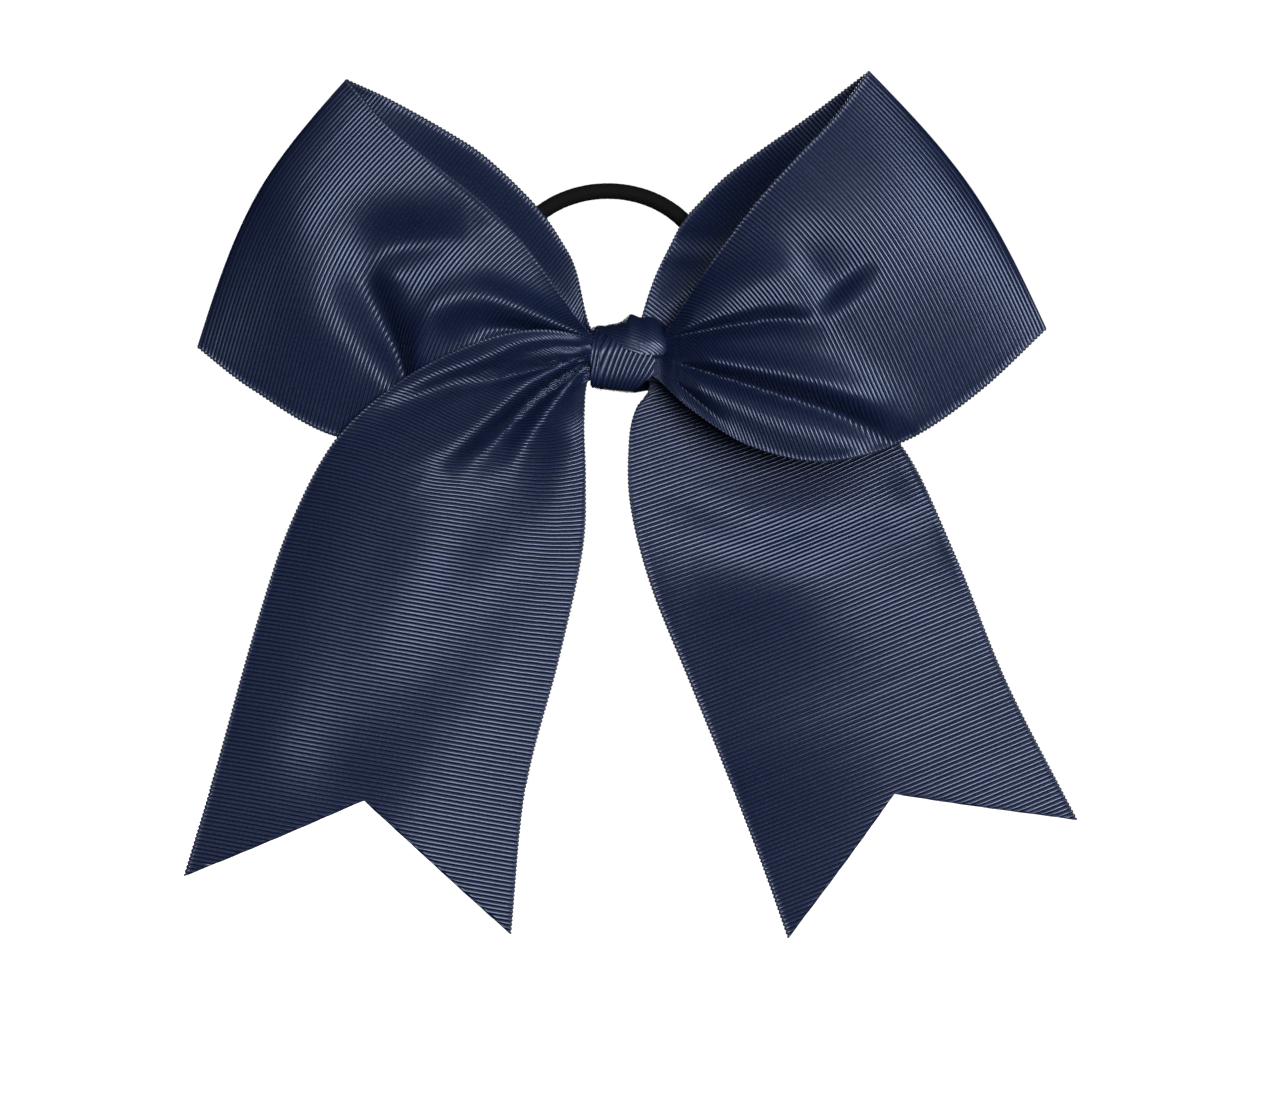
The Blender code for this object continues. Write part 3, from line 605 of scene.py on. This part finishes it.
# ---------------------------- knot and middle
# Half heights of the knot along X, and the edge where its upper band laps over the lower one.
KNOT_TOP = ((-8.6, 5.2), (-7.9, 5.9), (-6.6, 6.3), (-5.1, 5.9), (-2.3, 6.8), (-0.4, 7.7),
            (0.8, 8.6), (2.6, 8.1), (5.0, 8.2), (7.2, 7.2), (8.7, 5.6), (9.4, 3.9))
KNOT_BOTTOM = ((-8.6, 6.6), (-8.1, 7.0), (-3.8, 7.6), (-0.2, 7.9), (9.0, 7.7))
KNOT_SEAM = ((-8.1, 5.9), (-7.4, 5.7), (-3.8, 3.6), (-0.2, 0.9), (2.0, 0.2), (5.0, -0.5),
             (6.8, -0.8), (8.4, 0.2), (9.4, 2.4))
# The lower band's right-hand selvage, by angle round the knot from the middle of its front.
KNOT_RIGHT_EDGE = ((-180, 8.0), (-150, 7.0), (-110, 2.6), (-90, 1.2), (-56, 1.8), (-23, 4.3),
                   (-10, 5.8), (0, 6.3), (30, 6.5))


def read_pairs(pairs, at):
    """A curve through pairs of numbers, smoothed a little by reading it at three places."""
    xs, ys = zip(*pairs)
    return sum(np.interp(at + shift, xs, ys) for shift in (-0.25, 0, 0.25)) / 3


def knot_point(x, angle, lift):
    """A place on the knot: X, and the angle round it from its front over its top, in degrees."""
    turn = np.radians(angle)
    c, s = np.cos(turn), np.sin(turn)
    power = 2 / np.where(s > 0, KNOT_SQUARENESS_ABOVE, KNOT_SQUARENESS_BELOW)
    depth = (KNOT_DEPTH + lift) * (1 - 0.10 * (np.abs(x) / 8.6) ** 4)
    y = KNOT_MIDDLE_Y - depth * np.sign(c) * np.abs(c) ** power
    high = np.where(s > 0, read_pairs(KNOT_TOP, x), read_pairs(KNOT_BOTTOM, x)) + lift
    z = high * np.sign(s) * np.abs(s) ** power
    return np.stack([x, y, z], axis=-1)


def knot_angle(x, z):
    """The angle round the knot's front at height z."""
    high = np.where(z > 0, read_pairs(KNOT_TOP, x), read_pairs(KNOT_BOTTOM, x))
    squareness = np.where(z > 0, KNOT_SQUARENESS_ABOVE, KNOT_SQUARENESS_BELOW)
    share = np.clip(np.abs(z) / high, 0, 1) ** (squareness / 2)
    return np.degrees(np.arcsin(share)) * np.sign(z)


def arc_lengths(grid):
    """Length round the knot from the band's start, along each column."""
    step = np.linalg.norm(np.diff(grid, axis=0), axis=-1)
    return np.concatenate([np.zeros((1, grid.shape[1])), np.cumsum(step, axis=0)])


def knot_band(name, grid, phase, along, valley, crest, material):
    """A band with ribs across the phase, which counts ribs."""
    rib = np.abs(np.sin(math.pi * phase))
    half = valley + (crest - valley) * rib ** 0.7
    uv = np.stack([along + 100, phase * RIB_PITCH], axis=-1)
    return sheet_mesh(name, grid, half, uv, material)


def knot_upper(material):
    """The band that runs from the seam in front, over the top and down the back."""
    x = np.linspace(UPPER_BAND_LEFT, UPPER_BAND_RIGHT, KNOT_COLUMNS)
    start = knot_angle(x, read_pairs(KNOT_SEAM, x))
    share = np.linspace(0, 1, KNOT_ROWS)[:, None]
    angle = start + share * (UPPER_BAND_END - start)
    lift = 0.15 + 0.45 * np.clip(share * 12, 0, 1) * np.ones_like(x)
    grid = knot_point(np.broadcast_to(x, angle.shape), angle, lift)
    # Soft creases gather the band where it leaves the seam.
    crease = 0.28 * np.sin(x * 1.15 + 0.6) * np.exp(-((angle - 80) / 50) ** 2)
    grid[..., 1] -= crease * 0.4
    grid[..., 2] += crease * 0.6
    along = arc_lengths(grid)
    seam = read_pairs(KNOT_SEAM, x)
    right = np.maximum(x - 2, 0)
    phase = (0.31 * x + 0.05 * right ** 2 + 0.95 * (along + seam)) / 0.8
    return knot_band("knot_upper_ribbon", grid, phase, np.broadcast_to(x, phase.shape),
                     0.06, 0.24, material)


def knot_lower(material):
    """The band that runs from under the seam, round below and up the back."""
    share = np.linspace(0, 1, 6 * KNOT_ROWS)[:, None]
    across = np.linspace(0, 1, KNOT_COLUMNS)
    # The band starts under the upper one, a little above the seam.
    reach = LOWER_BAND_LEFT + across * (LOWER_BAND_START - LOWER_BAND_LEFT)
    top = knot_angle(reach, read_pairs(KNOT_SEAM, reach) + SEAM_OVERLAP)
    angle = top - share * (top - LOWER_BAND_END)
    right = read_pairs(KNOT_RIGHT_EDGE, angle)
    fine = knot_point(LOWER_BAND_LEFT + across * (right - LOWER_BAND_LEFT), angle, 0.1)
    # Rows at even distances along the band, however square its corners are.
    travelled = arc_lengths(fine)
    along = np.linspace(0, 1, KNOT_ROWS)[:, None] * travelled[-1]
    grid = np.stack([read_at((fine[:, k], travelled[:, k]), along[:, k])
                     for k in range(KNOT_COLUMNS)], axis=1)
    x = grid[..., 0]
    up = grid[0, :, 2] - along
    phase = (0.94 * x - 0.0105 * x ** 2 - (0.40 + 0.022 * x) * up) / KNOT_RIB_PITCH
    return knot_band("knot_lower_ribbon", grid, phase, up, 0.05, 0.30, material)


def knot_lap(material):
    """The ribbon's cut end, lying flat on the back of the knot."""
    x = np.linspace(LAP_LOW[0], LAP_HIGH[0], 40)
    z = np.linspace(LAP_LOW[2], LAP_HIGH[2], 49)[:, None]
    grid = np.zeros((49, 40, 3))
    grid[..., 0] = x
    grid[..., 2] = z + 0.12 * np.sin(x * 1.7)
    grid[..., 1] = (LAP_LOW[1] + LAP_HIGH[1]) / 2 - 0.12 + 0.10 * np.sin(x * 0.55 + z * 0.4)
    phase = z / 0.75 + 0 * x
    return knot_band("knot_end_ribbon", grid, phase, np.broadcast_to(x, phase.shape),
                     0.12, 0.28, material)


def tube_mesh(name, rings, material):
    """A tube over rings of points, with its ends filled."""
    rings = np.asarray(rings)
    count, sides = rings.shape[:2]
    index = np.arange(count * sides).reshape(count, sides)
    around = np.roll(index, -1, axis=1)
    quads = np.stack([index[:-1], around[:-1], around[1:], index[1:]], axis=-1).reshape(-1, 4)
    faces = quads.tolist() + [index[0][::-1].tolist(), index[-1].tolist()]
    mesh = bpy.data.meshes.new(name)
    mesh.from_pydata((rings.reshape(-1, 3) * MM).tolist(), [], faces)
    mesh.shade_smooth()
    mesh.validate()
    mesh.materials.append(material)
    obj = bpy.data.objects.new(name, mesh)
    bpy.context.scene.collection.objects.link(obj)
    return obj


def gathered_bundle(material):
    """The crushed middle of the ribbon: lengthwise pleats drawn in to a waist."""
    count, sides = 61, 160
    place = np.linspace(-1, 1, count)
    flare = np.interp(np.abs(place), (0, 0.33, 0.6, 1), (0, 0, 0.45, 1))
    angle = np.linspace(0, 2 * math.pi, sides, endpoint=False)
    pleat = 0.10 * np.sin(13 * angle + 1.3) + 0.05 * np.sin(29 * angle)
    rings = np.zeros((count, sides, 3))
    rings[..., 0] = (place * GATHER_HALF_LENGTH)[:, None]
    for axis, part in ((1, np.cos(angle)), (2, np.sin(angle))):
        waist, end = WAIST_HALF[axis - 1], GATHER_END_HALF[axis - 1]
        size = waist + (end - waist) * flare
        rings[..., axis] = size[:, None] * part * (0.86 + pleat)
    rings[..., 1] += GATHER_Y
    return tube_mesh("gathered_ribbon", rings, material)


def bound_thread(material):
    """Two twisted plies wound round the waist of the bundle."""
    count, sides = THREAD_TURNS * 60 + 1, 12
    turn = np.linspace(0, THREAD_TURNS * 2 * math.pi, count)
    lift = THREAD_RADIUS + 0.3
    path = np.stack([(turn / turn[-1] - 0.5) * THREAD_TURNS * THREAD_PITCH,
                     GATHER_Y + (WAIST_HALF[0] + lift) * np.cos(turn),
                     (WAIST_HALF[1] + lift) * np.sin(turn)], axis=1)
    tangent = np.gradient(path, axis=0)
    tangent /= np.linalg.norm(tangent, axis=1, keepdims=True)
    out = path - np.array([0, GATHER_Y, 0])
    out[:, 0] = 0
    out -= tangent * np.sum(out * tangent, axis=1, keepdims=True)
    out /= np.linalg.norm(out, axis=1, keepdims=True)
    side = np.cross(tangent, out)
    angle = np.linspace(0, 2 * math.pi, sides, endpoint=False)
    twist = turn[:, None] * THREAD_TWIST
    radius = THREAD_RADIUS * (0.82 + 0.16 * np.cos(2 * angle - twist))
    rings = (path[:, None] + radius[..., None] * (np.cos(angle)[None, :, None] * out[:, None]
                                                  + np.sin(angle)[None, :, None] * side[:, None]))
    return tube_mesh("wound_thread", rings, material)


def glue_bead(material):
    """An uneven bead of set glue below the lap."""
    polar = math.pi * np.linspace(0.02, 0.98, 24)[:, None]
    angle = np.linspace(0, 2 * math.pi, 36, endpoint=False)[::-1]
    lump = 1 + 0.10 * np.sin(3 * angle + 2 * polar) + 0.07 * np.sin(5 * polar + angle)
    ball = np.stack([np.cos(polar) + 0 * angle, np.sin(polar) * np.cos(angle),
                     np.sin(polar) * np.sin(angle)], axis=-1)
    rings = np.array(GLUE_CENTRE) + np.array(GLUE_HALF) * lump[..., None] * ball
    return tube_mesh("set_glue", rings, material)


# ---------------------------- elastic
def elastic_path(step):
    """The elastic's centreline as a closed ring, from the join and round, at an even step."""
    flat = [(-JOIN_HALF_LENGTH - 0.3, 0), (-TUNNEL_LEFT_END, 0.2)]
    for degrees in range(ARC_START, ARC_END, ARC_STEP):
        angle = math.radians(degrees)
        flat.append((LOOP_CENTRE_X + LOOP_HALF_WIDTH * math.cos(angle),
                     LOOP_HALF_HEIGHT * (1 + math.sin(angle))))
    flat += [(TUNNEL_RIGHT_END, 0.4), (JOIN_HALF_LENGTH + 0.3, 0)]
    lean = (math.sin(LOOP_LEAN), math.cos(LOOP_LEAN))
    curve = measured([(x, up * lean[0], up * lean[1]) for x, up in flat])
    whole = curve[1][-1]
    return read_at(curve, np.linspace(0, whole, int(whole / step)))


def path_rings(path, radius):
    """Rings round a path that lies in the elastic's leaning plane; radius is by ring and side."""
    tangent = np.gradient(path, axis=0)
    tangent /= np.linalg.norm(tangent, axis=1, keepdims=True)
    plane = np.array((0.0, math.cos(LOOP_LEAN), -math.sin(LOOP_LEAN)))
    side = np.cross(tangent, plane)
    angle = np.linspace(0, 2 * math.pi, radius.shape[1], endpoint=False)
    spread = (np.cos(angle)[None, :, None] * side[:, None]
              + np.sin(angle)[None, :, None] * plane)
    return path[:, None] + radius[..., None] * spread


def braided_cover(material):
    """The elastic's cover: strands that cross over and under in both directions."""
    path = elastic_path(BRAID_STEP)
    sides = 48
    along = np.arange(len(path))[:, None] * BRAID_STEP
    angle = np.linspace(0, 2 * math.pi, sides, endpoint=False)
    turn = along * 2 * math.pi / BRAID_PITCH
    one = BRAID_STRANDS / 2 * angle + turn
    other = BRAID_STRANDS / 2 * angle - turn
    strand = np.maximum(np.abs(np.cos(one)) * (np.sin(other) > 0),
                        np.abs(np.cos(other)) * (np.sin(other) <= 0))
    radius = COVER_RADIUS - 0.16 + 0.20 * strand ** 0.6
    return tube_mesh("elastic_braid", path_rings(path, radius), material)


def rubber_core(material):
    """The elastic's core, a bundle of rubber strands."""
    path = elastic_path(CORE_STEP)
    angle = np.linspace(0, 2 * math.pi, 28, endpoint=False)
    along = np.arange(len(path))[:, None] * CORE_STEP
    radius = CORE_RADIUS * (0.9 + 0.1 * np.abs(np.cos(3.5 * angle + along * 0.25)))
    return tube_mesh("elastic_strands", path_rings(path, radius), material)


def join_wrap(material):
    """Thread wound over the two ends of the elastic where they meet."""
    count, sides = 121, 40
    x = np.linspace(-JOIN_HALF_LENGTH, JOIN_HALF_LENGTH, count)
    shoulder = np.clip((JOIN_HALF_LENGTH - np.abs(x)) / 0.5, 0, 1) ** 0.5
    angle = np.linspace(0, 2 * math.pi, sides, endpoint=False)
    wound = np.abs(np.sin(math.pi * (x[:, None] / WRAP_PITCH + angle / (2 * math.pi))))
    radius = (0.35 + 0.65 * shoulder)[:, None] * (COVER_RADIUS - 0.10 + 0.12 * wound ** 0.7)
    rings = np.stack([np.broadcast_to(x[:, None], radius.shape), radius * np.cos(angle),
                      radius * np.sin(angle)], axis=-1)
    return tube_mesh("elastic_join_wrap", rings, material)


# ---------------------------- materials
# Painted shade: the rib valleys' colour is the crest's navy made about ten times darker, for the
# shade that falls between the cords.
PAINTED_VALLEY_SHADE = (0.0008, 0.0022, 0.012, 1)
CREST_COLOUR = (0.0085, 0.017, 0.058, 1)
KNOT_CREST_COLOUR = (0.009, 0.018, 0.060, 1)
SELVAGE_COLOUR = (0.024, 0.029, 0.055, 1)
# A width that keeps the selvage's colour off the knot's bands.
NO_SELVAGE = 1000


def node(tree, kind, inputs=None, **settings):
    """A new node, with its settings, and with each input linked or given a value."""
    made = tree.nodes.new(kind)
    for key, value in settings.items():
        setattr(made, key, value)
    for key, value in (inputs or {}).items():
        if isinstance(value, bpy.types.NodeSocket):
            tree.links.new(value, made.inputs[key])
        else:
            made.inputs[key].default_value = value
    return made


def math_node(tree, operation, *values):
    """The output of a new math node on these values or outputs."""
    made = node(tree, "ShaderNodeMath", operation=operation)
    for k, value in enumerate(values):
        if isinstance(value, bpy.types.NodeSocket):
            tree.links.new(value, made.inputs[k])
        else:
            made.inputs[k].default_value = value
    return made.outputs[0]


def grosgrain(name, valley, crest, gloss, width):
    """Ribbed ribbon: fine warp threads over round ribs, dull in the valleys, with painted shade
    darkening the valleys' colour.
    """
    material = bpy.data.materials.new(name)
    material.use_nodes = True
    tree = material.node_tree
    shader = tree.nodes["Principled BSDF"]
    uv = node(tree, "ShaderNodeUVMap", uv_map="weave")
    split = node(tree, "ShaderNodeSeparateXYZ", {"Vector": uv.outputs[0]})
    across, along = split.outputs[0], split.outputs[1]
    # Depth in the rib: 0 in the valley, 1 on the crest.
    rib = math_node(tree, "ABSOLUTE", math_node(tree, "SINE",
                    math_node(tree, "MULTIPLY", along, math.pi / RIB_PITCH)))
    warp = math_node(tree, "ABSOLUTE", math_node(tree, "SINE",
                     math_node(tree, "MULTIPLY", across, math.pi / WARP_PITCH)))
    cloud = node(tree, "ShaderNodeTexNoise", {"Vector": uv.outputs[0], "Scale": 0.06, "Detail": 3.0})
    speck = node(tree, "ShaderNodeTexNoise", {"Vector": uv.outputs[0], "Scale": 1.7, "Detail": 2.0})
    # Painted shade: the mix darkens the colour away from each crest towards the valley colour; the
    # cloud and speck noise make the tone uneven at random.
    tone = math_node(tree, "POWER", rib, 5.0)
    patchy = math_node(tree, "ADD", math_node(tree, "MULTIPLY", cloud.outputs[0], 0.45),
                       math_node(tree, "MULTIPLY", speck.outputs[0], 0.5))
    tone = math_node(tree, "MULTIPLY", tone, math_node(tree, "ADD", patchy, 0.5))
    colour = node(tree, "ShaderNodeMix", data_type="RGBA")
    tree.links.new(tone, colour.inputs[0])
    colour.inputs[6].default_value = valley
    colour.inputs[7].default_value = crest
    # The selvage's turned threads are paler than the web.
    middle = math_node(tree, "ABSOLUTE", math_node(tree, "SUBTRACT", across, width / 2))
    edge = math_node(tree, "GREATER_THAN", middle, width / 2 - SELVAGE_WIDTH)
    pale = math_node(tree, "MULTIPLY", edge, math_node(tree, "ADD", math_node(
        tree, "MULTIPLY", speck.outputs[0], 0.9), 0.1))
    rim = node(tree, "ShaderNodeMix", data_type="RGBA")
    tree.links.new(pale, rim.inputs[0])
    tree.links.new(colour.outputs[2], rim.inputs[6])
    rim.inputs[7].default_value = SELVAGE_COLOUR
    tree.links.new(rim.outputs[2], shader.inputs["Base Color"])
    height = math_node(tree, "ADD", math_node(tree, "MULTIPLY", warp, 0.6),
                       math_node(tree, "MULTIPLY", speck.outputs[0], 0.8))
    bump = node(tree, "ShaderNodeBump", {"Strength": 0.35, "Distance": 0.000012, "Height": height})
    tree.links.new(bump.outputs[0], shader.inputs["Normal"])
    dull = math_node(tree, "POWER", math_node(tree, "SUBTRACT", 1.0, rib), 3.0)
    rough = math_node(tree, "ADD", math_node(tree, "MULTIPLY", dull, 0.6),
                      math_node(tree, "MULTIPLY", speck.outputs[0], 0.14))
    rough = math_node(tree, "ADD", rough, gloss - 0.07)
    tree.links.new(rough, shader.inputs["Roughness"])
    shader.inputs["Specular IOR Level"].default_value = 0.5
    shader.inputs["Specular Tint"].default_value = (0.62, 0.72, 1.0, 1)
    return material


def fine_finish(name, colour, roughness, bump_scale, bump_height, gloss=0.5):
    """A small piece's finish: uneven in colour and surface at its own scale, in millimetres."""
    material = bpy.data.materials.new(name)
    material.use_nodes = True
    tree = material.node_tree
    shader = tree.nodes["Principled BSDF"]
    place = node(tree, "ShaderNodeTexCoord")
    grain = node(tree, "ShaderNodeTexNoise",
                 {"Vector": place.outputs["Object"], "Scale": 1000 / bump_scale, "Detail": 3.0})
    dark = tuple(c * 0.7 for c in colour[:3]) + (1,)
    mix = node(tree, "ShaderNodeMix", data_type="RGBA")
    tree.links.new(grain.outputs[0], mix.inputs[0])
    mix.inputs[6].default_value = dark
    mix.inputs[7].default_value = colour
    tree.links.new(mix.outputs[2], shader.inputs["Base Color"])
    bump = node(tree, "ShaderNodeBump",
                {"Strength": 0.6, "Distance": bump_height * MM, "Height": grain.outputs[0]})
    tree.links.new(bump.outputs[0], shader.inputs["Normal"])
    shader.inputs["Roughness"].default_value = roughness
    shader.inputs["Specular IOR Level"].default_value = gloss
    return material


# ---------------------------- stage, light and camera
def studio():
    """A pale floor that curves up into a wall all round, lit softly."""
    profile = [(0.0, -0.17), (1.2, -0.17), (1.8, -0.13), (2.3, 0.1), (2.6, 0.5), (2.7, 1.5),
               (2.3, 2.4), (1.2, 3.0), (0.0, 3.1)]
    line = catmull_rom([(r, 0, z) for r, z in profile], np.linspace(0, 1, FLOOR_ROWS))
    points, faces = [], []
    for r, _, z in line:
        radius = max(r, FLOOR_CENTRE)
        for k in range(FLOOR_SIDES):
            angle = 2 * math.pi * k / FLOOR_SIDES
            points.append((radius * math.cos(angle), radius * math.sin(angle), z))
    for i in range(FLOOR_ROWS - 1):
        low, high = i * FLOOR_SIDES, (i + 1) * FLOOR_SIDES
        for k in range(FLOOR_SIDES):
            n = (k + 1) % FLOOR_SIDES
            faces.append((low + k, low + n, high + n, high + k))
    mesh = bpy.data.meshes.new("studio_floor")
    mesh.from_pydata(points, [], faces)
    mesh.shade_smooth()
    material = bpy.data.materials.new("studio_paper")
    material.use_nodes = True
    shader = material.node_tree.nodes["Principled BSDF"]
    shader.inputs["Base Color"].default_value = (0.3, 0.3, 0.3, 1)
    shader.inputs["Roughness"].default_value = 0.9
    shader.inputs["Emission Color"].default_value = (1, 1, 1, 1)
    shader.inputs["Emission Strength"].default_value = 0.97
    mesh.materials.append(material)
    floor = bpy.data.objects.new("studio_floor", mesh)
    # The paper is a backdrop only, so that the bow is lit by the lamps.
    floor.visible_diffuse = False
    floor.visible_glossy = False
    bpy.context.scene.collection.objects.link(floor)


def area_light(name, place, size, power):
    """A round lamp that faces the bow and isn't seen itself."""
    lamp = bpy.data.lights.new(name, "AREA")
    lamp.shape = "DISK"
    lamp.size = size
    lamp.energy = power
    obj = bpy.data.objects.new(name, lamp)
    obj.location = place
    facing = Vector(LAMP_TARGET) - Vector(place)
    obj.rotation_euler = facing.to_track_quat("-Z", "Y").to_euler()
    obj.visible_camera = False
    bpy.context.scene.collection.objects.link(obj)


def camera():
    """Straight in front, far enough off for the photograph's flat perspective."""
    data = bpy.data.cameras.new("camera")
    data.lens = data.sensor_width * CAMERA_DISTANCE / VIEW_WIDTH
    obj = bpy.data.objects.new("camera", data)
    obj.location = CAMERA_PLACE
    obj.rotation_euler = (math.radians(90), 0, 0)
    data.clip_start = 0.01
    data.clip_end = 10
    bpy.context.scene.collection.objects.link(obj)
    bpy.context.scene.camera = obj


def light():
    """A main lamp in front and a little to the right, a weak broad one, and one behind."""
    world = bpy.data.worlds.new("studio")
    world.use_nodes = True
    world.node_tree.nodes["Background"].inputs[0].default_value = (1, 1, 1, 1)
    world.node_tree.nodes["Background"].inputs[1].default_value = 0.03
    bpy.context.scene.world = world
    area_light("key", (0.43, -1.46, 0.13), 0.8, 32)
    area_light("fill", (0.1, -1.3, 0.5), 2.4, 8)
    area_light("back", (-0.4, 1.4, 0.1), 1.0, 16)
    bpy.context.scene.view_settings.view_transform = "Standard"


def ribbon(navy):
    """The wide ribbon's four sheets."""
    rng = np.random.default_rng(11)
    left_front = cage(LEFT_LOOP_FRONT, LEFT_LOOP_FOLDS, 0.0, FOLD_BULGE)
    left_back = cage(LEFT_LOOP_BACK, BACK_FOLDS_LEFT, 0.0, -FOLD_BULGE)
    right_front = cage(RIGHT_LOOP_FRONT, RIGHT_LOOP_FOLDS, 0.0, FOLD_BULGE)
    right_back = cage(RIGHT_LOOP_BACK, BACK_FOLDS_RIGHT, 0.0, -FOLD_BULGE)
    left_laid = cage(LEFT_TAIL, LEFT_TAIL_FOLDS, NOTCH_LEFT)
    right_laid = cage(RIGHT_TAIL, RIGHT_TAIL_FOLDS, NOTCH_RIGHT)
    # The left tail hangs in front of its loop, and the right tail behind its own.
    left_laid = (kept_clear(left_laid[0], left_front[0], -1),) + left_laid[1:]
    right_laid = (kept_clear(right_laid[0], right_back[0], 1),) + right_laid[1:]

    left_tail = tail_ribbon("left_tail_ribbon", left_laid, navy, rng)
    right_tail = tail_ribbon("right_tail_ribbon", right_laid, navy, rng)
    left_loop = loop_ribbon("left_loop_ribbon", left_front, left_back, navy, rng)
    right_loop = loop_ribbon("right_loop_ribbon", right_front, right_back, navy, rng)
    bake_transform(left_tail)
    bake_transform(right_tail)
    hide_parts("left_tail")
    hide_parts("right_tail")
    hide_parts("left_loop_front", "left_loop_back")
    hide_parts("right_loop_front", "right_loop_back")
    for piece in (left_loop, right_loop):
        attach(piece, "bow")


def knot(navy):
    """The knot ribbon's bands, and what they cover."""
    knot_navy = grosgrain("navy_knot_ribbon", PAINTED_VALLEY_SHADE, KNOT_CREST_COLOUR, 0.30, NO_SELVAGE)
    thread = fine_finish("navy_thread", (0.009, 0.012, 0.032, 1), 0.55, 0.12, 0.03)
    glue = fine_finish("clear_glue", (0.75, 0.73, 0.65, 1), 0.18, 1.4, 0.03)
    upper, lower, lap = knot_upper(knot_navy), knot_lower(knot_navy), knot_lap(knot_navy)
    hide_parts("knot_upper_band", "knot_back_band")
    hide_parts("knot_lower_band")
    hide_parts("knot_end_lap")
    bundle = gathered_bundle(navy)
    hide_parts("gathered_centre")
    wound = bound_thread(thread)
    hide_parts("binding_thread")
    bead = glue_bead(glue)
    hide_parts("glue_dab")
    for piece in (upper, lower, lap, bundle, wound, bead):
        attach(piece, "bow")


def elastic():
    """The hair elastic: cover, core and the wrap over its join."""
    black = fine_finish("black_knit", (0.003, 0.003, 0.0032, 1), 0.85, 0.22, 0.03, 0.12)
    rubber = fine_finish("elastic_rubber", (0.02, 0.019, 0.018, 1), 0.6, 0.5, 0.02)
    cover, core = braided_cover(black), rubber_core(rubber)
    for piece in (cover, core):
        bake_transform(piece)
    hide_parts("elastic_cover_left", "elastic_cover_right", "elastic_cover_top")
    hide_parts("elastic_core_left", "elastic_core_right", "elastic_core_top")
    wrap = join_wrap(black)
    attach(wrap, "elastic_base")
    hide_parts("elastic_join")


def main():
    navy = grosgrain("navy_grosgrain", PAINTED_VALLEY_SHADE, CREST_COLOUR, 0.27, RIBBON_WIDTH)
    ribbon(navy)
    knot(navy)
    elastic()
    studio()
    light()
    camera()


main()
